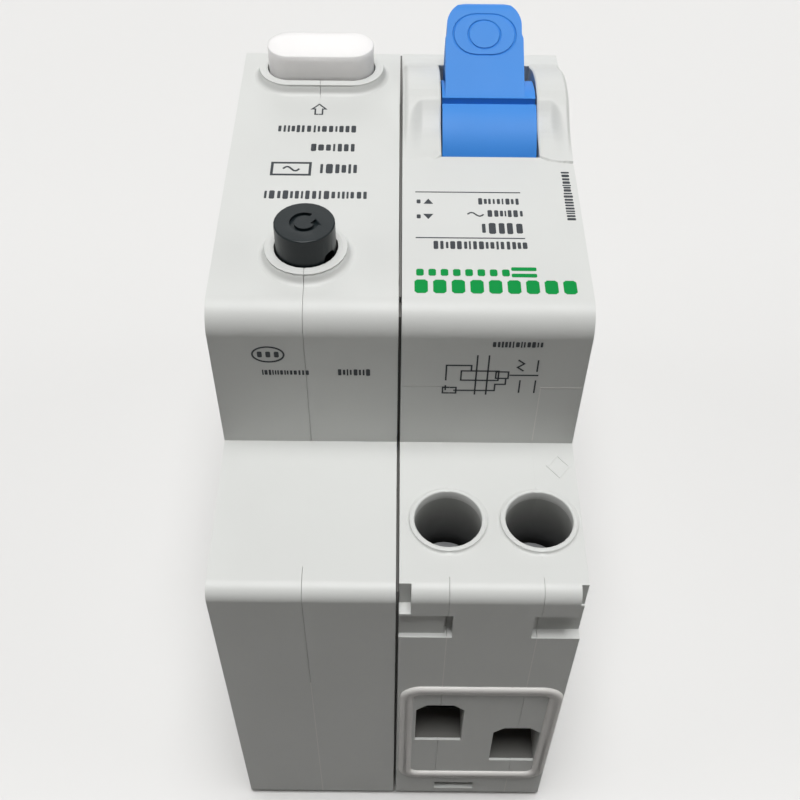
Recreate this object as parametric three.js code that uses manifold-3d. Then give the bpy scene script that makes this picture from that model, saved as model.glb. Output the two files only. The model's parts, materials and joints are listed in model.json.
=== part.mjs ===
// A two-module residual-current breaker for a 35 mm rail, modelled lying on its back.
//
// The miniature breaker fills the +X half and the residual-current module the -X half.
// +Z points out of the panel, -Y is the line end, +Y the load end. Millimetres.
// The origin is the middle of the base. At rest the toggle is off and the reset button is out.

import * as THREE from "three";
import { mergeVertices } from "three/addons/utils/BufferGeometryUtils.js";
import Module from "manifold-3d";

const wasm = await Module();
wasm.setup();

// ---- Driving dimensions -------------------------------------------------------------------

const HALF_WIDTH = 18; // each module is 18 mm wide
const MODULE_GAP = 0.3; // between the two modules
const SEAM = 0.03; // between the shells of one module
const END = 41; // half of the body's length
const NOSE_HALF = 22.5; // half of the 45 mm nose
const SHOULDER = 47.5; // height of the terminal shoulders
const NOSE = 65.3; // height of the front face
const SEAT = 4; // height of the rail seat above the base
const WALL = 1.6;
const SIDE_WALL = 1.2;
const SHOULDER_ROUND = 1.6;
const NOSE_ROUND = { line: 2.8, load: 1.6 };

const CUT = 1; // how far a cutting tool runs past what it cuts
const RAIL = { seat: 15.8, lip: 16.6, channel: 18.2, hookLow: 0.9, hookHigh: 2.3, relief: 0.4 };

const SEAM_X = [4.9, 13.8]; // seams of the breaker's three shells
const CAP_Z = 56; // the middle body's cap spans the full width above this
const VIGI_SEAM_X = -9;

const TERMINAL_Y = 32.5; // screw axis from the middle of the body
const SCREW_HOLE_R = 3.35;
const COLLAR_R = 3.8;
const COLLAR_RISE = 0.4;
const TUBE_R = 4.2;
const TUBE_FOOT = 37.5;
const LINE_X = { phase: SEAM_X[0], neutral: SEAM_X[1] };
const LOAD_X = { phase: -4.5, neutral: -13.5 };
const TERMINAL_DROP = { phase: 0, neutral: -5.5 };
const ENTRY = { half: 2.65, low: 16.1, high: 24.9, corner: 1.2, tunnelWall: 0.7 };
// Cuts in the line end face, each as its X, depth and Z.
const END_CUTS = [
  { x: [-1, 5.4], deep: 0.5, z: [39.7, 43.75] }, // comb busbar slot, shallow part
  { x: [4.6, 5.4], deep: 1.3, z: [39.7, 43.75] }, // and its deep end
  { x: [13.2, HALF_WIDTH + 1], deep: 1.1, z: [39.7, 43.75] }, // second comb busbar slot
  { x: [-1, 1.3], deep: 1.3, z: [44.1, SHOULDER + 1] }, // edge notches
  { x: [17.3, HALF_WIDTH + 1], deep: 1.3, z: [44.1, SHOULDER + 1] },
  { x: [4.9, 9.7], deep: 2.5, z: [2.1, 3.9] }, // screwdriver pocket
];
const CLIP = { half: 3.2, low: 0.3, high: 3.3, end: 40.4, play: 0.3, hole: [1.8, 36.4, 38.4] };
const SPRING_POST = { low: 47, top: 51, r: 1.6, shelfY: [-18.4, -9.6], shelfZ: [48.4, 49.6] };
const RIM = { z: [6, 29.2], width: 1.3, top: 0.4, rise: 0.4, corner: 2.3 };
const CAGE = { half: 3, length: 8.4, low: 14.6, high: 30.2, floor: 1.6, top: 2.4, side: 0.8 };
const TONGUE = { low: 24.9, high: 25.9, half: 1.9 };
const SCREW = { shaft: 2, head: 2.95, headLow: 37, headHigh: 39.6, slot: 0.9, slotDeep: 1.3 };

const TOGGLE = {
  y: 9.6,
  z: NOSE - 5.8,
  drum: 8.3,
  x: [4.4, 14.4],
  fin: [4.75, 13.25],
  bore: 1.35,
  slope: 26.8, // degrees that the lever's face rises at rest
  tip: 14.9, // from the pivot along that slope
  tipRound: 3.1,
  tipStep: 0.17, // the last of the lever is this much narrower on each side
  crankX: [7.5, 10.5],
  pin: [2.7, -1.72],
  pinR: 0.7,
};
const SLOT = { x: [4.25, 14.55], y: [1.65, 18.4] };
// The hood round the toggle's slot: (Y, height above the front face).
const HOOD = [
  [0.85, 0],
  [1.3, 0.25],
  [3, 0.95],
  [5, 1.6],
  [7, 2.15],
  [9, 2.7],
  [10.2, 2.85],
  [12, 2.7],
  [13.7, 2.2],
  [16, 1.25],
  [17.6, 0.55],
  [19.6, 0],
];
const HOOD_X = [0.3, HALF_WIDTH];
// The hollow for a finger in the hood, on both sides of the lever: (Y, height above the front face).
const HOLLOW = [
  [0.9, 0.05],
  [5.2, 0.05],
  [5.8, 0.16],
  [6.4, 0.4],
  [7, 0.75],
  [7.6, 1.2],
  [8.2, 1.75],
  [8.7, 2.3],
  [9.05, 2.8],
];
const HOLLOW_X = [1.2, 17];

const TEST = {
  x: -9,
  y: 16.8,
  length: 11.8,
  width: 5,
  top: NOSE + 3.8,
  lip: { long: 2, wide: 1.6 },
  foot: { x: [-6.6, -4.6], y: [16, 17.6], low: 58.5 },
};
const LEAF = { hinge: { x: -14.2, z: 57.8 }, end: -3.8, across: [15.5, 18.1], thick: 0.4, roundR: 0.6 };
const RESET = { x: -9, y: -14.05, r: 2.9, top: NOSE + 3.9, low: 57.6, lipR: 3.6, stemR: 1.3 };
const SPRING = { coilR: 2.2, wireR: 0.3, turns: 4.5, steps: 45, from: 50.2, to: 56.5 };
const RING = { clear: 0.18, wall: 0.9, rise: 1 };

const FLANGE = [62.1, 63.5]; // what stops each button against the front wall's inside

const CARRIER = { y: 2, z: 30, hub: 3.4, open: -19, x: [6.7, 11.9] };
const LINK = { x: [8.3, 9.7], eye: 1.5, foot: 1.6, half: 0.8, pinY: 12.2, pinZ: 28.3, pinR: 0.8 };
const EYE_PLAY = { round: 0.25, along: 0.45 }; // room of the link's foot pin in the carrier's arm
const PIVOT = { axle: 0.95, bore: 1.05 }; // of the two trip levers
const PUSH_PIN_R = 0.7;
const MAGNET = {
  axis: [5, 28],
  wireR: 3.3,
  tubeR: 2.9,
  bobbinR: 2.4,
  bore: 1.8,
  coil: [18.2, 27.8],
  bobbin: [17, 29],
  flange: 0.9,
  pitch: 2.8,
  band: 1.8,
};
const ARC = {
  x: [2.4, 7.6],
  y: [-21.6, -7],
  base: 8.2,
  top: 22.5,
  plate: 0.8,
  pitch: 1.9,
  cheek: 0.5,
  gap: 0.3,
};
const TRANSFORMER = {
  y: -2,
  z: 21,
  span: [-12.5, -4.5],
  r: 9,
  bore: 5.2,
  winding: { inner: 9.2, outer: 10.4, degrees: [210, 330] },
  spread: 0.5,
};
const LOAD_WIRE_R = 1.4;
const BOARD = { x: [-16.7, -15.3], y: [-34.6, -14.6], z: [12, 44] };
const RELAY = {
  axis: [-8, 40.4],
  coilR: 4.2,
  bore: 2,
  coil: [16, 25],
  coreR: 1.8,
  core: [18.5, 24],
  frame: { x: [-12, -4], y: [14.6, 26.4], z: [36, 45.7], thick: 1 },
};
const AXLE_R = 1;
const RUNNING = 0.08; // radial clearance of a turning fit

const RIVETS = [
  [-38, 38.2],
  [38, 38.2],
  [-25, 8],
  [20.6, 8],
];
const RIVET = { r: 1.5, head: 2.2, headThick: 0.8, bore: 0.8, boss: 2.7 };

// ---- Solids: three.js shapes, joined and cut with manifold-3d ---------------------------------

const ROUND = 28; // sides of a plain round

// A closed three.js geometry as a manifold-3d solid.
function solid(geometry) {
  geometry.deleteAttribute("normal");
  geometry.deleteAttribute("uv");
  const merged = mergeVertices(geometry, 1e-4);
  return new wasm.Manifold(
    new wasm.Mesh({
      numProp: 3,
      vertProperties: merged.attributes.position.array,
      triVerts: new Uint32Array(merged.index.array),
    }),
  );
}

// A manifold-3d solid as a three.js geometry.
function geometryOf(body) {
  const { vertProperties, numProp, numVert, triVerts } = body.getMesh();
  const positions = new Float32Array(numVert * 3);
  for (let i = 0; i < numVert; i++)
    positions.set(vertProperties.subarray(i * numProp, i * numProp + 3), i * 3);
  const geometry = new THREE.BufferGeometry();
  geometry.setAttribute("position", new THREE.BufferAttribute(positions, 3));
  geometry.setIndex(new THREE.BufferAttribute(triVerts, 1));
  return geometry;
}

const join = (first, ...rest) => rest.reduce((all, piece) => all.add(piece), first);
const cut = (body, ...tools) => tools.reduce((left, tool) => left.subtract(tool), body);

function box([x0, x1], [y0, y1], [z0, z1]) {
  const geometry = new THREE.BoxGeometry(x1 - x0, y1 - y0, z1 - z0);
  geometry.translate((x0 + x1) / 2, (y0 + y1) / 2, (z0 + z1) / 2);
  return solid(geometry);
}

const ALONG_X = new THREE.Matrix4().makeBasis(
  new THREE.Vector3(0, 1, 0),
  new THREE.Vector3(0, 0, 1),
  new THREE.Vector3(1, 0, 0),
);
const ALONG_Y = new THREE.Matrix4().makeBasis(
  new THREE.Vector3(0, 0, 1),
  new THREE.Vector3(1, 0, 0),
  new THREE.Vector3(0, 1, 0),
);
const ALONG_Z = new THREE.Matrix4();

// A flat outline swept along one axis. The outline is in (Y, Z), (Z, X) or (X, Y).
function sweep(shape, [from, to], axis, curveSegments = 8) {
  const geometry = new THREE.ExtrudeGeometry(shape, {
    depth: to - from,
    bevelEnabled: false,
    curveSegments,
  });
  geometry.translate(0, 0, from);
  geometry.applyMatrix4(axis);
  return solid(geometry);
}

const outline = (points) => new THREE.Shape(points.map(([u, v]) => new THREE.Vector2(u, v)));
const prism = (points, span) => sweep(outline(points), span, ALONG_X);

function disc(radius, u, v) {
  const shape = new THREE.Shape();
  shape.absarc(u, v, radius, 0, 2 * Math.PI, false);
  return shape;
}

const rodX = (r, y, z, span, sides = ROUND) => sweep(disc(r, y, z), span, ALONG_X, sides / 2);
const rodY = (r, x, z, span, sides = ROUND) => sweep(disc(r, z, x), span, ALONG_Y, sides / 2);
const rodZ = (r, x, y, span, sides = ROUND) => sweep(disc(r, x, y), span, ALONG_Z, sides / 2);

// A stadium outline in (X, Y), its long side along X.
function pill(length, width, x, y) {
  const r = width / 2;
  const reach = length / 2 - r;
  const shape = new THREE.Shape();
  shape.absarc(x + reach, y, r, -Math.PI / 2, Math.PI / 2, false);
  shape.absarc(x - reach, y, r, Math.PI / 2, (3 * Math.PI) / 2, false);
  return shape;
}

const pillZ = (length, width, x, y, span) => sweep(pill(length, width, x, y), span, ALONG_Z, 14);

// A round wire through the given points.
function wire(points, radius, steps, sides = 8) {
  const path = new THREE.CatmullRomCurve3(points.map((p) => new THREE.Vector3(...p)));
  const geometry = new THREE.ExtrudeGeometry(disc(radius, 0, 0), {
    steps,
    extrudePath: path,
    curveSegments: sides / 2,
  });
  return solid(geometry);
}

// ---- Materials --------------------------------------------------------------------------------

const material = (color, roughness, metalness = 0) =>
  new THREE.MeshStandardMaterial({ color, roughness, metalness });
const LOOKS = {
  case_grey: material(0xd9dbd8, 0.5),
  toggle_blue: material(0x3f86dc, 0.45),
  button_white: material(0xf4f1f1, 0.35),
  button_black: material(0x22282c, 0.35),
  inner_plastic: material(0xb9b4a6, 0.6),
  steel: material(0xb4b6b8, 0.35, 1),
  copper: material(0xb87348, 0.35, 1),
  brass: material(0xc9ab62, 0.35, 1),
  ferrite: material(0x3a3d40, 0.7),
  board_green: material(0x2d6a44, 0.5),
  wire_blue: material(0x2f5fae, 0.5),
  wire_brown: material(0x6b432c, 0.5),
  component_dark: material(0x2b2b2e, 0.5),
};

const assembly = new THREE.Group();

function add(name, look, body) {
  const mesh = new THREE.Mesh(geometryOf(body), LOOKS[look]);
  mesh.name = name;
  assembly.add(mesh);
}

// ---- Casing -----------------------------------------------------------------------------------

// The body's side outline in (Y, Z), with the rail channel in its base.
function sideProfile() {
  const shape = new THREE.Shape();
  const foot = 1;
  shape.moveTo(-END + foot, 0);
  shape.lineTo(-RAIL.channel - 0.8, 0);
  shape.lineTo(-RAIL.lip, RAIL.hookLow);
  shape.lineTo(-RAIL.lip, RAIL.hookHigh);
  shape.lineTo(-RAIL.channel, RAIL.hookHigh);
  shape.lineTo(-RAIL.channel, SEAT + RAIL.relief);
  shape.lineTo(-RAIL.seat, SEAT + RAIL.relief);
  shape.lineTo(-RAIL.seat, SEAT);
  shape.lineTo(RAIL.seat, SEAT);
  shape.lineTo(RAIL.seat, SEAT + RAIL.relief);
  shape.lineTo(RAIL.channel, SEAT + RAIL.relief);
  shape.lineTo(RAIL.channel, 0);
  shape.lineTo(END - foot, 0);
  shape.lineTo(END, foot);
  shape.lineTo(END, SHOULDER - SHOULDER_ROUND);
  shape.absarc(END - SHOULDER_ROUND, SHOULDER - SHOULDER_ROUND, SHOULDER_ROUND, 0, Math.PI / 2);
  shape.lineTo(NOSE_HALF, SHOULDER);
  shape.lineTo(NOSE_HALF, NOSE - NOSE_ROUND.load);
  shape.absarc(
    NOSE_HALF - NOSE_ROUND.load,
    NOSE - NOSE_ROUND.load,
    NOSE_ROUND.load,
    0,
    Math.PI / 2,
  );
  shape.lineTo(-NOSE_HALF + NOSE_ROUND.line, NOSE);
  shape.absarc(
    -NOSE_HALF + NOSE_ROUND.line,
    NOSE - NOSE_ROUND.line,
    NOSE_ROUND.line,
    Math.PI / 2,
    Math.PI,
  );
  shape.lineTo(-NOSE_HALF, SHOULDER);
  shape.lineTo(-END + SHOULDER_ROUND, SHOULDER);
  shape.absarc(
    -END + SHOULDER_ROUND,
    SHOULDER - SHOULDER_ROUND,
    SHOULDER_ROUND,
    Math.PI / 2,
    Math.PI,
  );
  shape.lineTo(-END, foot);
  return shape;
}

// The hollow inside the casing, in (Y, Z).
function hollowProfile() {
  const floor = SEAT + WALL;
  const end = END - WALL;
  const nose = NOSE_HALF - WALL;
  return outline([
    [-end, floor],
    [end, floor],
    [end, SHOULDER - WALL],
    [nose, SHOULDER - WALL],
    [nose, NOSE - WALL],
    [-nose, NOSE - WALL],
    [-nose, SHOULDER - WALL],
    [-end, SHOULDER - WALL],
  ]);
}

// One module's casing before it is split: walls, screw tubes and rivet bosses.
function casing([x0, x1], terminals) {
  const inner = [x0 + SIDE_WALL, x1 - SIDE_WALL];
  let body = cut(
    sweep(sideProfile(), [x0, x1], ALONG_X, 5),
    sweep(hollowProfile(), inner, ALONG_X, 5),
  );
  for (const [x, y] of terminals) {
    const room = box([x0, x1], [y - TUBE_R, y + TUBE_R], [TUBE_FOOT, SHOULDER + COLLAR_RISE]);
    const tube = rodZ(TUBE_R, x, y, [TUBE_FOOT, SHOULDER - 0.5]).intersect(room);
    const collar = rodZ(COLLAR_R, x, y, [SHOULDER - 0.5, SHOULDER + COLLAR_RISE]);
    body = join(body, tube, collar.intersect(room));
  }
  for (const [y, z] of RIVETS) body = join(body, rodX(RIVET.boss, y, z, inner, 12));
  for (const [x, y] of terminals)
    body = cut(body, rodZ(SCREW_HOLE_R, x, y, [CAGE.high + 5.3, SHOULDER + 1]));
  for (const [y, z] of RIVETS)
    body = cut(
      body,
      rodX(RIVET.r + 0.1, y, z, [x0 - 1, x1 + 1], 12),
      rodX(RIVET.head + 0.15, y, z, [x0 - 1, x0 + RIVET.headThick + 0.1], 12),
      rodX(RIVET.head + 0.15, y, z, [x1 - RIVET.headThick - 0.1, x1 + 1], 12),
    );
  return body;
}

// A wire entry: upright, with its two upper corners cut off. side is -1 at the line end.
function wireEntry(x, drop, side) {
  const { half, low, high, corner } = ENTRY;
  const shape = outline([
    [low + drop, x - half],
    [high - corner + drop, x - half],
    [high + drop, x - half + corner],
    [high + drop, x + half - corner],
    [high - corner + drop, x + half],
    [low + drop, x + half],
  ]);
  const span = side < 0 ? [-END - 2, -END + 6] : [END - 6, END + 2];
  return sweep(shape, span, ALONG_Y);
}

// A rounded rectangle in (Z, X).
function roundedRectangle([z0, z1], [x0, x1], r) {
  const shape = new THREE.Shape();
  shape.absarc(z1 - r, x1 - r, r, 0, Math.PI / 2, false);
  shape.absarc(z0 + r, x1 - r, r, Math.PI / 2, Math.PI, false);
  shape.absarc(z0 + r, x0 + r, r, Math.PI, (3 * Math.PI) / 2, false);
  shape.absarc(z1 - r, x0 + r, r, (3 * Math.PI) / 2, 2 * Math.PI, false);
  return shape;
}

// A frame round both wire entries, in two steps: the upper one is narrower on both sides.
function entryRim([x0, x1], side) {
  const [z0, z1] = RIM.z;
  const layer = (inset, rise) => {
    const y = side < 0 ? [-END - rise, -END + 0.5] : [END - 0.5, END + rise];
    const w = RIM.width - inset;
    const frame = (grow) =>
      roundedRectangle([z0 + grow, z1 - grow], [x0 + grow, x1 - grow], RIM.corner - grow);
    const outer = sweep(frame(inset), y, ALONG_Y, 6);
    return cut(outer, sweep(frame(w), [y[0] - 1, y[1] + 1], ALONG_Y, 4));
  };
  return join(layer(0, RIM.rise / 2), layer((RIM.width - RIM.top) / 2, RIM.rise));
}

// The plastic funnel that leads a wire from its entry to the clamp.
function entryFunnel(x, drop, side) {
  const { half, low, high } = ENTRY;
  const t = ENTRY.tunnelWall;
  const reach = TERMINAL_Y + CAGE.length / 2 + 0.25;
  const y = side < 0 ? [-END + 0.5, -reach] : [reach, END - 0.5];
  return box([x - half - t, x + half + t], y, [low - t + drop, high + t + drop]);
}

// The pocket that the rail clip slides in, at the load end of a module.
function clipPocket(x) {
  const half = CLIP.half + CLIP.play;
  return box([x - half, x + half], [RAIL.channel - CUT, END + CUT], [-CUT, CLIP.high + 0.4]);
}

// The windows between the modules, for the load wires and for the trip peg.
function windows(span) {
  const wires = box(span, [-6, 2.2], [18.4, 23.6]);
  const peg = box(span, [9.2, 14.4], [36, 41]);
  return [wires, peg];
}

function buildBreakerCasing() {
  const span = [MODULE_GAP / 2, HALF_WIDTH];
  const terminals = Object.values(LINE_X).map((x) => [x, -TERMINAL_Y]);
  const hood = prism(
    [
      [HOOD[0][0], NOSE - WALL / 2],
      ...HOOD.map(([y, rise]) => [y, NOSE + rise]),
      [HOOD.at(-1)[0], NOSE - WALL / 2],
    ],
    HOOD_X,
  );
  const hollow = prism(
    [
      ...HOLLOW.map(([y, rise]) => [y, NOSE + rise]),
      [HOLLOW.at(-1)[0], NOSE + 5],
      [HOLLOW[0][0], NOSE + 5],
    ],
    HOLLOW_X,
  );
  const slot = box(SLOT.x, SLOT.y, [NOSE - WALL - 1, NOSE + 5]);
  const funnels = Object.keys(LINE_X).map((p) => entryFunnel(LINE_X[p], TERMINAL_DROP[p], -1));
  let body = join(
    casing(span, terminals),
    cut(hood, hollow),
    entryRim([0.5, HALF_WIDTH - 0.1], -1),
    ...funnels,
  );
  body = cut(body, slot, clipPocket(9), ...windows([-1, MODULE_GAP / 2 + SIDE_WALL + 0.5]));
  for (const pole of ["phase", "neutral"])
    body = cut(body, wireEntry(LINE_X[pole], TERMINAL_DROP[pole], -1));
  for (const { x, deep, z } of END_CUTS) body = cut(body, box(x, [-END - CUT, -END + deep], z));
  const cap = box([-1, HALF_WIDTH + 1], [-END - 2, END + 2], [CAP_Z, NOSE + 10]);
  const column = ([x0, x1]) => box([x0, x1], [-END - 2, END + 2], [-2, CAP_Z - SEAM]);
  const left = column([-1, SEAM_X[0] - SEAM / 2]);
  const middle = join(column([SEAM_X[0] + SEAM / 2, SEAM_X[1] - SEAM / 2]), cap);
  const right = column([SEAM_X[1] + SEAM / 2, HALF_WIDTH + 1]);
  const bridge = box(
    [SEAM_X[0] + SEAM / 2, SEAM_X[1] - SEAM / 2],
    [-END - 2, END + 2],
    [CAP_Z - SEAM - 0.5, CAP_Z + 0.5],
  );
  add("breaker_left_shell", "case_grey", body.intersect(left));
  add("breaker_middle_body", "case_grey", body.intersect(join(middle, bridge)));
  add("breaker_right_shell", "case_grey", body.intersect(right));
}

function buildVigiCasing() {
  const span = [-HALF_WIDTH, -MODULE_GAP / 2];
  const terminals = Object.values(LOAD_X).map((x) => [x, TERMINAL_Y]);
  const ringTop = NOSE + RING.rise;
  const clear = 2 * RING.clear;
  const rim = 2 * (RING.clear + RING.wall);
  let body = join(
    casing(span, terminals),
    pillZ(TEST.length + rim, TEST.width + rim, TEST.x, TEST.y, [NOSE - 1, ringTop]),
    rodZ(RESET.r + RING.clear + RING.wall, RESET.x, RESET.y, [NOSE - 1, ringTop]),
    box([span[0] + 0.5, span[1] - 0.5], SPRING_POST.shelfY, SPRING_POST.shelfZ),
    entryRim([-HALF_WIDTH + 0.1, -0.5], 1),
    ...Object.keys(LOAD_X).map((p) => entryFunnel(LOAD_X[p], TERMINAL_DROP[p], 1)),
  );
  body = cut(
    body,
    pillZ(TEST.length + clear, TEST.width + clear, TEST.x, TEST.y, [NOSE - 3, ringTop + 1]),
    rodZ(RESET.r + RING.clear, RESET.x, RESET.y, [NOSE - 3, ringTop + 1]),
    rodZ(SPRING_POST.r, RESET.x, RESET.y, [SPRING_POST.low, SPRING_POST.top], 16),
    clipPocket(-9),
    ...windows([-MODULE_GAP / 2 - SIDE_WALL - 0.5, 1]),
  );
  for (const pole of ["phase", "neutral"])
    body = cut(body, wireEntry(LOAD_X[pole], TERMINAL_DROP[pole], 1));
  const half = ([x0, x1]) => box([x0, x1], [-END - 2, END + 2], [-2, NOSE + 10]);
  const left = half([-HALF_WIDTH - 1, VIGI_SEAM_X - SEAM / 2]);
  const right = half([VIGI_SEAM_X + SEAM / 2, 1]);
  add("vigi_left_shell", "case_grey", body.intersect(left));
  add("vigi_right_shell", "case_grey", body.intersect(right));
}

// Tubular rivets that run through both modules, with a head at each side.
function buildRivets() {
  RIVETS.forEach(([y, z], i) => {
    const end = HALF_WIDTH - 0.05;
    const rivet = join(
      rodX(RIVET.r, y, z, [-end, end], 12),
      rodX(RIVET.head, y, z, [-end, -end + RIVET.headThick], 12),
      rodX(RIVET.head, y, z, [end - RIVET.headThick, end], 12),
    );
    const bore = rodX(RIVET.bore, y, z, [-HALF_WIDTH - 1, HALF_WIDTH + 1], 12);
    add(`case_rivet_${i + 1}`, "steel", cut(rivet, bore));
  });
}

// A sliding clip for the rail's load-side flange.
function buildRailClip(name, x) {
  const { half, low, high, end } = CLIP;
  const nose = RAIL.channel + 0.6;
  const bar = prism(
    [
      [RAIL.lip, RAIL.hookLow],
      [nose + 0.2, low],
      [end, low],
      [end, high],
      [nose, high],
      [nose, RAIL.hookHigh],
      [RAIL.lip, RAIL.hookHigh],
    ],
    [x - half, x + half],
  );
  const [holeHalf, y0, y1] = CLIP.hole;
  add(name, "inner_plastic", cut(bar, box([x - holeHalf, x + holeHalf], [y0, y1], [-CUT, high + CUT])));
}

// ---- Terminals --------------------------------------------------------------------------------

function buildTerminal(label, x, y, drop) {
  const { half, length, low, high, floor, top, side } = CAGE;
  const ends = [y - length / 2, y + length / 2];
  const through = [ends[0] - 1, ends[1] + 1];
  const cage = cut(
    box([x - half, x + half], ends, [low + drop, high + drop]),
    box([x - half + side, x + half - side], through, [low + floor + drop, high - top + drop]),
    rodZ(SCREW.shaft + 0.15, x, y, [high - top - 1 + drop, high + 1 + drop], 16),
  );
  add(`${label}_clamp`, "steel", cage);
  const s = SCREW.slot / 2;
  const slotSpan = [SCREW.headHigh - SCREW.slotDeep, SCREW.headHigh + 1];
  const screw = cut(
    join(
      rodZ(SCREW.shaft, x, y, [TONGUE.high + 0.2 + drop, SCREW.headLow + 0.1], 16),
      rodZ(SCREW.head, x, y, [SCREW.headLow, SCREW.headHigh]),
    ),
    box([x - SCREW.head - 1, x + SCREW.head + 1], [y - s, y + s], slotSpan),
    box([x - s, x + s], [y - 1.9, y + 1.9], slotSpan),
  );
  add(`${label}_screw`, "steel", screw);
}

// The breaker's fixed contacts: clamp tongue, strip and contact pad in one.
function buildFixedContacts() {
  const { low, high, half } = TONGUE;
  const pad = (x) => box([x - 1.4, x + 1.4], [-17.6, -14.6], [high - 0.1, high + 1]);
  const [px, nx] = [LINE_X.phase, LINE_X.neutral];
  const strip = box([px - half, px + half], [-36.4, -14], [low, high]);
  add("phase_fixed_contact", "copper", join(strip, pad(px)));
  const drop = TERMINAL_DROP.neutral;
  const step = prism(
    [
      [-36.4, low + drop],
      [-25, low + drop],
      [-25, low],
      [-14, low],
      [-14, high],
      [-26, high],
      [-26, high + drop],
      [-36.4, high + drop],
    ],
    [nx - half, nx + half],
  );
  add("neutral_fixed_contact", "copper", join(step, pad(nx)));
}

// The load tongues end at the wires from the transformer.
function buildLoadTongues() {
  for (const pole of ["phase", "neutral"]) {
    const x = LOAD_X[pole];
    const z = [TONGUE.low + TERMINAL_DROP[pole], TONGUE.high + TERMINAL_DROP[pole]];
    const strip = box([x - TONGUE.half, x + TONGUE.half], [26, 36.4], z);
    add(`${pole}_load_tongue`, "copper", strip);
  }
}

// ---- Breaker mechanism --------------------------------------------------------------------------

const turn = (body, y, z, degrees) =>
  body.translate([0, -y, -z]).rotate([degrees, 0, 0]).translate([0, y, z]);

// The lever seen square to its face: straight sides, a small step, and a rounded tip.
function leverOutline(y, [x0, x1]) {
  const { tip, tipRound: r, tipStep: step } = TOGGLE;
  const shape = new THREE.Shape();
  shape.moveTo(x0, y - tip);
  shape.lineTo(x1, y - tip);
  shape.lineTo(x1, y + tip - 4.7);
  shape.lineTo(x1 - step, y + tip - 4.2);
  shape.absarc(x1 - step - r, y + tip - r, r, 0, Math.PI / 2, false);
  shape.absarc(x0 + step + r, y + tip - r, r, Math.PI / 2, Math.PI, false);
  shape.lineTo(x0 + step, y + tip - 4.2);
  shape.lineTo(x0, y + tip - 4.7);
  return shape;
}

function buildToggle() {
  const { y, z, drum, x, fin, bore, crankX, pin, pinR } = TOGGLE;
  const lever = prism(
    [
      [-0.75, 8.2],
      [8.7, 12.98],
      [9.3, 13.2],
      [9.9, 13.0],
      [10.2, 12.4],
      [9.9, 11.8],
      [8.2, 10.4],
      [7.1, 8.6],
      [6.9, 6.6],
      [7.5, 3.2],
      [2, 2],
    ].map(([u, v]) => [y + u, z + v]),
    fin,
  ).intersect(
    turn(sweep(leverOutline(y, fin), [z - 30, z + 30], ALONG_Z, 12), y, z, TOGGLE.slope),
  );
  const groove = prism(
    [
      [-1.75, 7.5],
      [-0.95, 7.5],
      [-0.85, 9],
      [-1.85, 9],
    ].map(([u, v]) => [y + u, z + v]),
    [0, HALF_WIDTH],
  );
  const crankSlot = box(crankX, [y - drum - 1, y + drum + 1], [z - drum - 1, z + 0.3]);
  const body = cut(
    join(rodX(drum, y, z, x, 56), lever),
    groove,
    crankSlot,
    rodX(bore, y, z, [0, HALF_WIDTH], 16),
  );
  const crankPin = rodX(pinR, y + pin[0], z + pin[1], [crankX[0] - 0.2, crankX[1] + 0.2], 12);
  add("toggle", "toggle_blue", join(body, crankPin));
  add("toggle_axle", "steel", rodX(bore - 0.1, y, z, [1.5, 16.7], 16));
}

// The link hangs from the toggle's crank pin. Its foot lifts the carrier's arm.
function buildToggleLink() {
  const y = TOGGLE.y + TOGGLE.pin[0];
  const top = TOGGLE.z + TOGGLE.pin[1];
  const { x, eye, foot, half, pinY, pinZ, pinR } = LINK;
  const body = join(
    rodX(eye, y, top, x),
    box(x, [y - half, y + half], [pinZ, top]),
    rodX(foot, pinY, pinZ, x),
    rodX(pinR, pinY, pinZ, [x[0], CARRIER.x[1] - RUNNING]),
  );
  const bore = rodX(TOGGLE.pinR + RUNNING, y, top, [0, HALF_WIDTH], 16);
  add("toggle_link", "steel", cut(body, bore));
}

// The carrier and its two contact arms turn together on one axle. They rest open.
function buildContacts() {
  const { y, z, hub, open, x } = CARRIER;
  const bore = (span) => rodX(AXLE_R + RUNNING, y, z, span, 16);
  const reach = Math.hypot(LINK.pinY - y, LINK.pinZ - z);
  const rest = (Math.atan2(LINK.pinZ - z, LINK.pinY - y) * 180) / Math.PI;
  const eyeR = LINK.pinR + EYE_PLAY.round;
  const far = y + reach + EYE_PLAY.along;
  const through = [x[0] - 1, x[1] + 1];
  const arm = cut(
    join(
      box([10.2, x[1]], [y, far], [z - 1.5, z + 1.5]),
      rodX(2, far, z, [10.2, x[1]], 16),
    ),
    rodX(eyeR, y + reach, z, through, 16),
    box(through, [y + reach, far], [z - eyeR, z + eyeR]),
    rodX(eyeR, far, z, through, 16),
  );
  const carrier = join(rodX(hub, y, z, x), turn(arm, y, z, rest));
  add("contact_carrier", "inner_plastic", cut(carrier, bore([0, HALF_WIDTH])));
  for (const pole of ["phase", "neutral"]) {
    const middle = LINE_X[pole];
    const span = [middle - 1.2, middle + 1.2];
    const blade = join(
      rodX(2.3, y, z, span, 16),
      prism(
        [
          [y - 19.8, z - 1.4],
          [y - 2, z - 1.4],
          [y, z - 1.8],
          [y, z + 1.8],
          [y - 2, z + 0.8],
          [y - 19.8, z + 0.6],
        ],
        span,
      ),
      box(span, [y - 19.6, y - 16.6], [z - 2.9, z - 1.3]),
    );
    add(`${pole}_contact_arm`, "copper", turn(cut(blade, bore(span)), y, z, open));
  }
  add("carrier_axle", "steel", rodX(AXLE_R, y, z, [1.5, 16.7], 16));
}

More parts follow.
